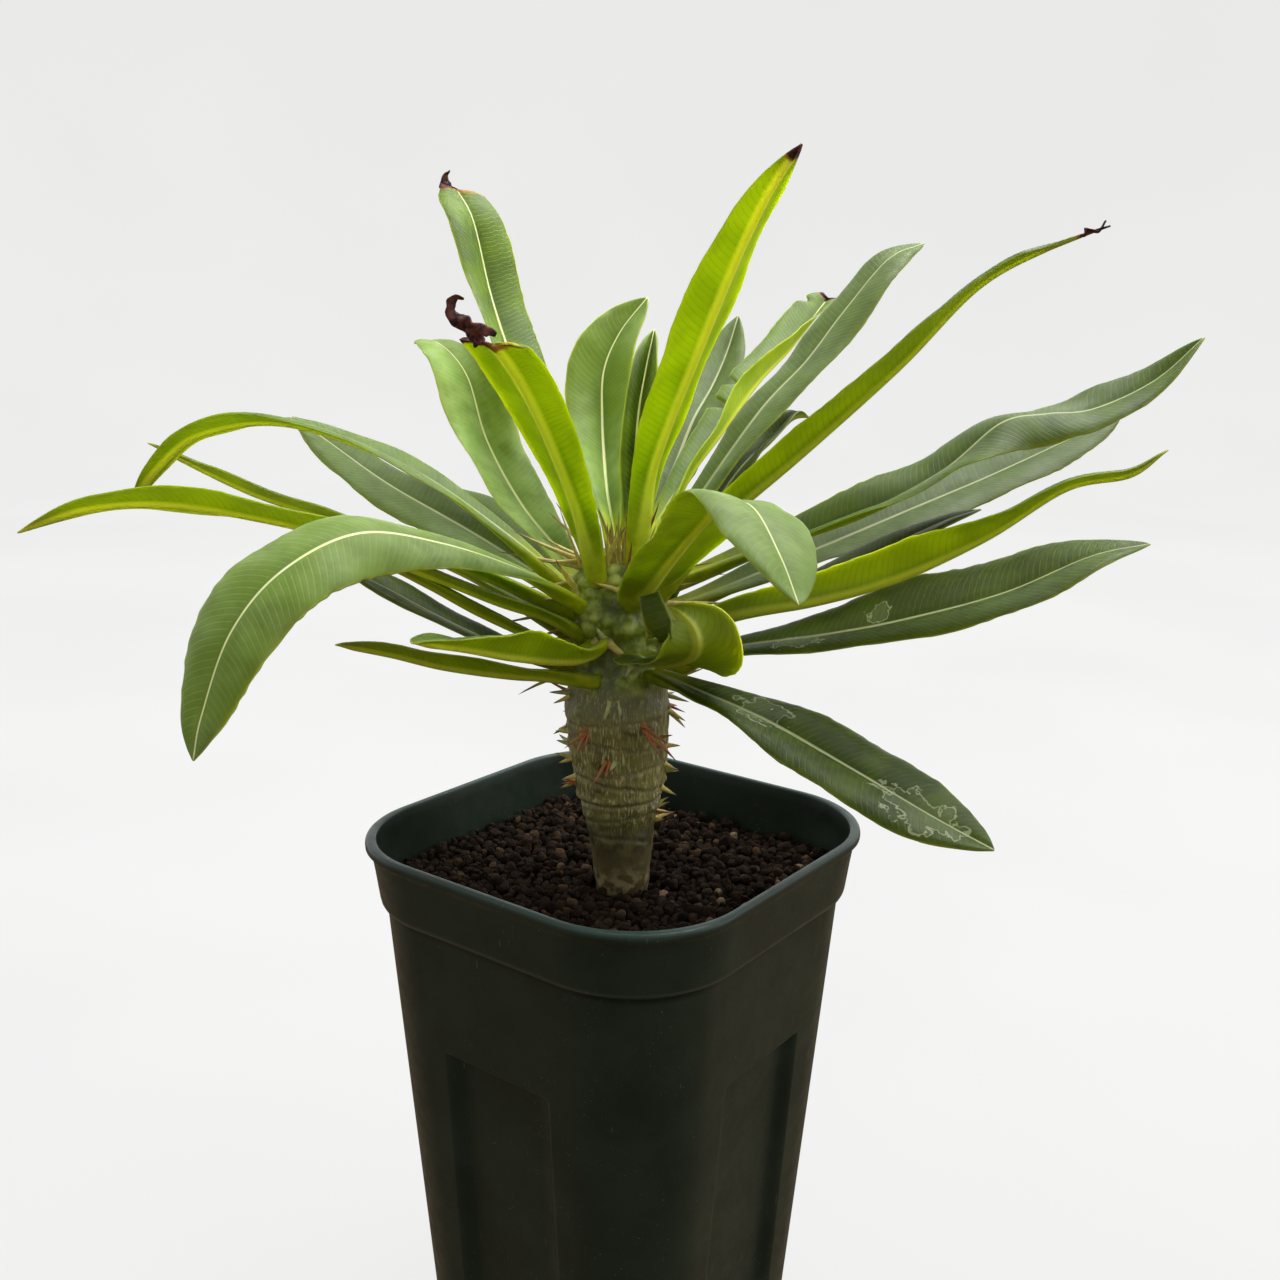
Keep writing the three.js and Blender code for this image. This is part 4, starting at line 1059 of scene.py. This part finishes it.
class Graph:
    """Short ways to add nodes to a new material or world."""

    def __init__(self, owner):
        owner.use_nodes = True
        self.owner = owner
        self.tree = owner.node_tree
        self.shader = self.tree.nodes.get("Principled BSDF")

    def put(self, value, socket):
        """Link a value that another node gives, or set a plain one."""
        if hasattr(value, "links"):
            self.tree.links.new(value, socket)
        else:
            socket.default_value = value

    def node(self, kind, inputs=(), **settings):
        made = self.tree.nodes.new(kind)
        for key, value in settings.items():
            setattr(made, key, value)
        for key, value in dict(inputs).items():
            self.put(value, made.inputs[key])
        return made

    def attribute(self, name):
        """The three numbers that a mesh's points carry under a name."""
        source = self.node("ShaderNodeAttribute", attribute_name=name)
        split = self.node("ShaderNodeSeparateXYZ", {0: source.outputs["Vector"]})
        return split.outputs[0], split.outputs[1], split.outputs[2]

    def math(self, operation, first, second=0.0, third=0.0):
        made = self.node("ShaderNodeMath", {0: first, 1: second, 2: third}, operation=operation)
        return made.outputs[0]

    def times(self, first, second):
        return self.math("MULTIPLY", first, second)

    def ease(self, value, low, high, start=0.0, end=1.0):
        """Eases from start to end as value goes from low to high."""
        given = {"Value": value, "From Min": low, "From Max": high, "To Min": start, "To Max": end}
        made = self.node("ShaderNodeMapRange", interpolation_type="SMOOTHSTEP")
        for name, number in given.items():
            self.put(number, made.inputs[name])
        return made.outputs["Result"]

    def blend(self, factor, first, second, mode="MIX"):
        made = self.node("ShaderNodeMix", {0: factor, 6: first, 7: second},
                         data_type="RGBA", blend_type=mode)
        return made.outputs[2]

    def between(self, factor, first, second):
        """A blend of two colours given as they look on a screen."""
        return self.blend(factor, linear(*first), linear(*second))

    def coated(self, colour, *coats):
        """A colour under coats, each as how much of it shows and how it looks on a screen."""
        for amount, coat in coats:
            colour = self.blend(amount, colour, linear(*coat))
        return colour

    def shaded(self, colour, factor):
        """A colour times a factor, which may be over 1."""
        made = self.node("ShaderNodeVectorMath", {0: colour, 3: factor}, operation="SCALE")
        return made.outputs[0]

    def places(self, stretch=(1.0, 1.0, 1.0)):
        """Where a point is on the object, in mm, each axis times its stretch."""
        where = self.node("ShaderNodeTexCoord").outputs["Object"]
        scale = tuple(factor / MM for factor in stretch)
        made = self.node("ShaderNodeVectorMath", {0: where, 1: scale}, operation="MULTIPLY")
        return made.outputs[0]

    def height(self):
        """How high a point is, in mm."""
        return self.node("ShaderNodeSeparateXYZ", {0: self.places()}).outputs[2]

    def noise(self, size, detail=3.0, stretch=(1.0, 1.0, 1.0), rough=0.5):
        """Noise from 0 to 1; size is how wide one blotch is, in mm."""
        given = {"Vector": self.places(stretch), "Scale": 1.0 / size, "Detail": detail, "Roughness": rough}
        return self.node("ShaderNodeTexNoise", given).outputs["Fac"]

    def patchy(self, size, low, high, start=0.0, end=1.0, detail=3.0):
        """Noise that eases from start to end between low and high."""
        return self.ease(self.noise(size, detail), low, high, start, end)

    def bump(self, height, depth_mm, strength=1.0):
        given = {"Strength": strength, "Distance": depth_mm * MM, "Height": height}
        made = self.node("ShaderNodeBump", given)
        self.put(made.outputs["Normal"], self.shader.inputs["Normal"])

    def finish(self, colour, roughness, **plain):
        """Set the shader and give the material back."""
        self.put(colour, self.shader.inputs["Base Color"])
        self.put(roughness, self.shader.inputs["Roughness"])
        for name, value in plain.items():
            self.shader.inputs[name.replace("_", " ")].default_value = value
        return self.owner


def material_graph(name):
    return Graph(bpy.data.materials.new(name))


def vein_lines(g, vein, distance, edge, blade):
    """Fine side veins that fade near the midrib, the edge and the stalk."""
    line = g.ease(g.math("PINGPONG", vein, 0.5), 0.05, 0.17, 1.0, 0.0)
    patches = g.patchy(3.0, 0.3, 0.6, 0.55, 1.0, detail=2.0)
    for fade in (g.ease(distance, 0.3, 1.0), g.ease(edge, 0.15, 1.4), patches, blade):
        line = g.times(line, fade)
    return line


def water_mark(g):
    """Broken pale rings and a faint film where a drop has dried."""
    film = g.attribute("leaffilm")[0]
    inside = g.math("ADD", film, g.patchy(3.0, 0.3, 0.7, -0.25, 0.25))
    ring = g.ease(g.math("ABSOLUTE", g.math("SUBTRACT", inside, 0.35)), 0.01, 0.07, 0.75, 0.0)
    dried = g.math("MAXIMUM", ring, g.ease(inside, 0.35, 0.5, 0.0, 0.14))
    return g.times(dried, g.ease(film, 0.02, 0.12))


def upper_side(g, blotch, line, blade, distance, edge, share, grey):
    """Green under a waxy grey with painted sheen, a pale midrib, and a pale edge with painted glow in it.
    """
    green = g.between(g.ease(blotch, 0.35, 0.65), (52, 72, 4), (76, 98, 8))
    # The grey is partly the leaf's waxy bloom and partly painted sheen.
    bloom_and_sheen = g.between(g.ease(blotch, 0.3, 0.7), (124, 146, 82), (100, 124, 58))
    rib_width = g.ease(share, 0.2, 1.0, 1.1, 0.35)
    midrib = g.ease(g.math("DIVIDE", distance, rib_width), 0.25, 0.55, 1.0, 0.0)
    return g.coated(
        g.blend(g.times(grey, g.patchy(5.0, 0.25, 0.7, 0.6, 1.15, detail=4.0)), green, bloom_and_sheen),
        (g.times(line, 0.09), (160, 180, 96)),
        (g.times(midrib, g.ease(share, 0.1, 0.5, 0.5, 0.85)), (210, 216, 160)),
        # The pale edge is partly the margin's own colour and partly painted glow of light through the thin
        # margin.
        (g.times(g.ease(edge, 0.08, 0.3, 0.4, 0.0), blade), (150, 166, 84)),
        (water_mark(g), (186, 196, 160)),
    )


def underside_and_glow(g, blotch, line, distance):
    """Bright yellow green, part its own, part painted glow through the leaf; darker veins, broad pale rib.
    """
    return g.coated(
        # Its brightness is partly the underside's own paler colour and partly painted glow of light
        # through the leaf.
        g.between(g.ease(blotch, 0.3, 0.7), (128, 152, 4), (148, 170, 10)),
        (g.times(line, 0.3), (100, 124, 2)),
        (g.times(g.ease(distance, 0.7, 1.7, 1.0, 0.0), 0.85), (204, 212, 66)),
    )


def leaf_looks():
    g = material_graph("leaf")
    vein, distance, edge = g.attribute("leafmap")
    upper, share, burn = g.attribute("leafmask")
    grey, light, dark = g.attribute("leaf_tone_and_light")
    blotch = g.noise(9.0)
    blade = g.ease(share, 0.04, 0.2)
    line = vein_lines(g, vein, distance, edge, blade)
    top = upper_side(g, blotch, line, blade, distance, edge, share, grey)
    faces = g.blend(upper, underside_and_glow(g, blotch, line, distance), top)
    stalk = g.between(g.patchy(2.0, 0.3, 0.7), (132, 148, 8), (160, 168, 24))
    colour = g.coated(
        g.blend(blade, stalk, faces),
        (g.patchy(0.9, 0.62, 0.8, 0.0, 0.25), (70, 78, 30)),
        (g.times(dark, 0.85), (44, 46, 24)),
    )
    char = g.between(g.patchy(1.4, 0.35, 0.7), (36, 18, 20), (108, 60, 50))
    singe = g.blend(g.ease(burn, 0.35, 0.7), linear(168, 122, 40), char)
    # The whole leaf is made lighter or darker by its tone: partly its own tone, partly painted light and
    # shade for how it is lit.
    colour = g.blend(g.ease(burn, 0.05, 0.45), g.shaded(colour, light), singe)

    half = g.math("ADD", distance, edge)
    glow = g.times(g.ease(half, 1.5, 5.0, 0.15, 0.9), g.ease(burn, 0.05, 0.45, 1.0, 0.0))
    g.put(glow, g.shader.inputs["Subsurface Weight"])
    rough = g.math("ADD", g.patchy(1.6, 0.2, 0.8, 0.36, 0.52), g.times(grey, 0.08))
    g.bump(g.math("ADD", g.times(line, -0.6), g.times(g.noise(0.28, 2.0), 0.12)), 0.1, 0.5)
    return g.finish(colour, rough, Subsurface_Radius=(1.0, 1.0, 0.3),
                    Subsurface_Scale=0.002, Specular_IOR_Level=0.16)


def bark_looks():
    g = material_graph("bark")
    scar, crown, bump = g.attribute("barkmap")
    flecks = g.noise(0.36, stretch=(1.0, 1.0, 0.13))
    patches = g.noise(4.0, 4.0)
    height = g.height()
    # The foot is darker: partly its smoother bark and partly painted shade under the bulge of the trunk.
    foot = g.between(g.patchy(2.4, 0.4, 0.7, detail=4.0), (50, 46, 14), (88, 82, 34))
    crust = g.times(g.ease(height, 115.0, 108.0), g.patchy(2.0, 0.45, 0.62, detail=5.0))
    bark = g.coated(
        g.between(g.ease(patches, 0.35, 0.65), (78, 74, 26), (112, 106, 44)),
        (g.times(g.ease(flecks, 0.5, 0.66), g.patchy(3.2, 0.35, 0.6, 0.3, 0.85)), (186, 178, 118)),
        (g.ease(height, 142.0, 150.0, 0.0, 0.35), (120, 128, 92)),
    )
    bark = g.coated(
        # Darker foot below the bulge: its smoother bark with painted shade.
        g.blend(g.ease(height, 126.0, 119.0), bark, foot),
        (g.ease(height, 119.0, 113.0, 0.0, 0.75), (98, 86, 50)),
        (g.times(crust, 0.7), (176, 158, 118)),
        (g.times(scar, 0.35), (132, 124, 88)),
    )
    green = g.coated(
        g.between(g.patchy(1.3, 0.35, 0.7, detail=4.0), (92, 108, 20), (138, 152, 46)),
        # A painted highlight on the tops of the crown's knobs.
        (g.ease(bump, 0.6, 1.8, 0.0, 0.75), (180, 190, 88)),
        # Painted shade in the hollows between the knobs.
        (g.ease(bump, 0.3, 0.0, 0.0, 0.6), (50, 58, 16)),
    )
    rough = g.blend(crown, g.ease(patches, 0.3, 0.7, 0.55, 0.75), g.ease(patches, 0.3, 0.7, 0.3, 0.5))
    g.bump(g.math("ADD", g.times(flecks, 0.7), g.times(g.noise(0.8, 4.0), 0.6)), 0.25, 0.8)
    return g.finish(g.blend(crown, bark, green), rough)


def spine_looks():
    g = material_graph("spine")
    share, tint, own = g.attribute("spinemap")
    colour = g.coated(
        g.between(g.ease(tint, 0.0, 0.45), (176, 182, 118), (196, 180, 92)),
        (g.ease(tint, 0.5, 0.75), (172, 98, 48)),
        (g.ease(tint, 0.8, 1.0), (140, 72, 40)),
        (g.patchy(1.2, 0.35, 0.7, 0.0, 0.45), (124, 104, 54)),
        (g.ease(share, 0.62, 0.98, 0.0, 0.9), (84, 46, 26)),
        (g.ease(share, 0.1, 0.0, 0.0, 0.5), (104, 104, 56)),
    )
    g.bump(g.noise(0.4, 2.0), 0.06, 0.5)
    return g.finish(colour, g.ease(own, 0.0, 1.0, 0.4, 0.6))


def grain_looks():
    g = material_graph("granules")
    tone, tan, own = g.attribute("grainmap")
    colour = g.coated(
        g.between(tone, (20, 13, 9), (50, 37, 27)),
        (g.ease(tone, 0.90, 0.98, 0.0, 0.7), (92, 72, 52)),
        (g.ease(tan, 0.985, 0.995, 0.0, 0.9), (146, 122, 94)),
        (g.patchy(0.35, 0.5, 0.75, 0.0, 0.45, detail=4.0), (78, 60, 44)),
    )
    g.bump(g.noise(0.3, 5.0, rough=0.7), 0.25, 0.9)
    return g.finish(colour, g.ease(own, 0.0, 1.0, 0.85, 1.0), Specular_IOR_Level=0.12)


def pot_looks():
    g = material_graph("moulded_pot")
    height = g.height()
    collar = POT_HEIGHT - COLLAR_HEIGHT
    # A painted shadow in a thin band under the collar's step.
    under = g.times(g.ease(height, collar - 2.6, collar - 1.0), g.ease(height, collar - 0.3, collar - 0.5))
    # A painted highlight on the rounded lower edge of the collar.
    edge = g.times(g.ease(height, collar - 0.4, collar), g.ease(height, collar + 1.0, collar + 0.3))
    dust = g.times(g.patchy(0.35, 0.7, 0.78, detail=2.0), g.patchy(6.0, 0.45, 0.7))
    scratch = g.ease(g.noise(0.5, stretch=(1.0, 1.0, 0.06)), 0.66, 0.74)
    scuff = g.times(scratch, g.patchy(9.0, 0.55, 0.66, detail=2.0))
    inside = g.attribute("pot_inside_shade")[0]
    colour = g.coated(
        g.between(g.patchy(14.0, 0.3, 0.7, detail=4.0), (26, 36, 27), (34, 45, 34)),
        # A painted highlight along the top edge of the lip.
        (g.ease(height, POT_HEIGHT - 0.8, POT_HEIGHT - 0.25), (42, 60, 54)),
        # The painted shadow under the collar.
        (g.times(under, 0.8), (8, 12, 10)),
        # The painted highlight on the collar's lower edge.
        (g.times(edge, 0.6), (52, 66, 56)),
        (g.times(dust, 0.6), (176, 182, 170)),
        # Painted shade on the pot's inner wall.
        (g.times(inside, 0.7), (6, 16, 12)),
        (g.times(scuff, 0.25), (120, 132, 122)),
    )
    g.bump(g.noise(0.5, 4.0), 0.03, 0.6)
    rough = g.patchy(3.0, 0.25, 0.75, 0.34, 0.48, detail=4.0)
    return g.finish(colour, rough, Specular_IOR_Level=0.24)


def paper_looks():
    g = material_graph("pale_floor")
    colour = g.blend(g.patchy(300.0, 0.3, 0.7, detail=2.0), (0.05, 0.05, 0.05, 1), (0.07, 0.07, 0.07, 1))
    glow = g.blend(g.noise(500.0, 2.0), (0.98, 0.98, 0.975, 1), (1.0, 1.0, 0.995, 1))
    g.put(glow, g.shader.inputs["Emission Color"])
    return g.finish(colour, 0.9, Emission_Strength=0.80, Specular_IOR_Level=0.0)


def make_stage():
    """A round pale floor that rises all round into a wall, so that every side has a plain ground."""
    rings = [(radius, 0.0) for radius in np.linspace(0.01, FLOOR_REACH, 12)]
    for turn in np.linspace(0, math.pi / 2, 14)[1:]:
        rings.append((FLOOR_REACH + FLOOR_BEND * math.sin(turn), FLOOR_BEND * (1 - math.cos(turn))))
    rings += [(FLOOR_REACH + FLOOR_BEND, height) for height in np.linspace(0.6, 1.6, 6)]
    angles = np.linspace(0, 2 * math.pi, 96, endpoint=False)
    points = [(r * math.cos(a), r * math.sin(a), z) for r, z in rings for a in angles]
    faces = [face[::-1] for face in tube_faces(len(rings), len(angles))]
    faces.append(list(range(len(angles))))
    mesh = bpy.data.meshes.new("pale_floor")
    mesh.from_pydata(points, [], faces)
    mesh.polygons.foreach_set("use_smooth", [True] * len(mesh.polygons))
    mesh.materials.append(paper_looks())
    floor = linked("pale_floor", mesh)
    for ray in ("diffuse", "glossy", "transmission", "shadow"):
        setattr(floor, "visible_" + ray, False)


def add_light(name, place, width, energy):
    """A square lamp aimed at the middle of the plant."""
    lamp = bpy.data.lights.new(name, "AREA")
    lamp.shape = "SQUARE"
    lamp.size = width
    lamp.energy = energy
    holder = linked(name, lamp)
    holder.location = Vector(place)
    holder.rotation_euler = (Vector(LAMP_AIM) - Vector(place)).to_track_quat("-Z", "Y").to_euler()


def soft_room():
    """Light from a room by direction: a bright wall behind the plant, a dimmer front, a brown table."""
    g = Graph(bpy.data.worlds.new("soft_room"))
    direction = g.node("ShaderNodeTexCoord").outputs["Generated"]

    def graded(axis, stops):
        """Colours by how far a direction goes along an axis: 0 is against it, and 1 is along it."""
        dot = g.node("ShaderNodeVectorMath", {0: direction, 1: tuple(axis)}, operation="DOT_PRODUCT")
        half = g.math("MULTIPLY_ADD", dot.outputs["Value"], 0.5, 0.5)
        ramp = g.node("ShaderNodeValToRGB", {"Fac": half})
        ramp.color_ramp.interpolation = "EASE"
        elements = ramp.color_ramp.elements
        while len(elements) < len(stops):
            elements.new(0.5)
        for element, (position, colour) in zip(elements, stops):
            element.position = position
            element.color = (*colour, 1)
        return ramp.outputs["Color"]

    depth = graded(-VIEW_NEAR, [(0.25, (ROOM_FRONT,) * 3), (0.8, (1, 1, 1))])
    height = graded(UPWARD, [(0.38, TABLE_GLOW), (0.52, (0.9, 0.9, 0.9)), (1.0, (0.75, 0.75, 0.75))])
    background = g.tree.nodes["Background"]
    g.put(g.blend(1.0, depth, height, "MULTIPLY"), background.inputs["Color"])
    background.inputs["Strength"].default_value = ROOM_STRENGTH
    return g.owner


def make_lights():
    for name, aside, towards, height, width, energy in LAMPS:
        place = aside * VIEW_RIGHT + towards * VIEW_NEAR + height * UPWARD
        add_light(name, place, width, energy)
    bpy.context.scene.world = soft_room()


def make_camera():
    """The camera, level with the view's turn but for its tilt and a slight roll."""
    lens = bpy.data.cameras.new("camera")
    lens.sensor_width = 36.0
    lens.lens = CAMERA_LENS
    lens.clip_start = 0.01
    holder = linked("camera", lens)
    turn, tilt, roll = (math.radians(angle) for angle in CAMERA_ANGLES)
    facing = Matrix.Rotation(turn, 4, "Z") @ Matrix.Rotation(math.pi / 2 - tilt, 4, "X")
    facing = facing @ Matrix.Rotation(roll, 4, "Z")
    holder.matrix_world = Matrix.Translation(Vector(CAMERA_PLACE) * MM) @ facing
    bpy.context.scene.camera = holder


def main():
    leaf_material = leaf_looks()
    for seed, (key, leaf) in enumerate(LEAVES.items(), start=1):
        node = "leaf_" + key
        points, faces, values = make_leaf(key, leaf, seed)
        make_piece(node + "_blade", points, faces, leaf_material, values, [node])
    points, faces, values = make_bark()
    make_piece("bark", points, faces, bark_looks(), values, ["trunk"])
    points, faces, values = make_spines()
    make_piece("spines", points, faces, spine_looks(), values, ["trunk"])
    granules = grain_looks()
    places = grain_places(np.random.default_rng(21))
    for name, kept in (("granules_near", places[::2]), ("granules_far", places[1::2])):
        points, faces, values = make_grains(kept, len(kept))
        make_piece(name, points, faces, granules, values, ["soil"], flat=True)
    points, faces, values = make_soil_bed()
    make_piece("soil_bed", points, faces, granules, values, ["soil"])
    points, faces, values = make_pot()
    pot = make_piece("moulded_pot", points, faces, pot_looks(), values, ["pot"])
    cut_drains(pot)
    make_stage()
    make_lights()
    make_camera()
    bpy.context.scene.view_settings.view_transform = "Standard"


main()
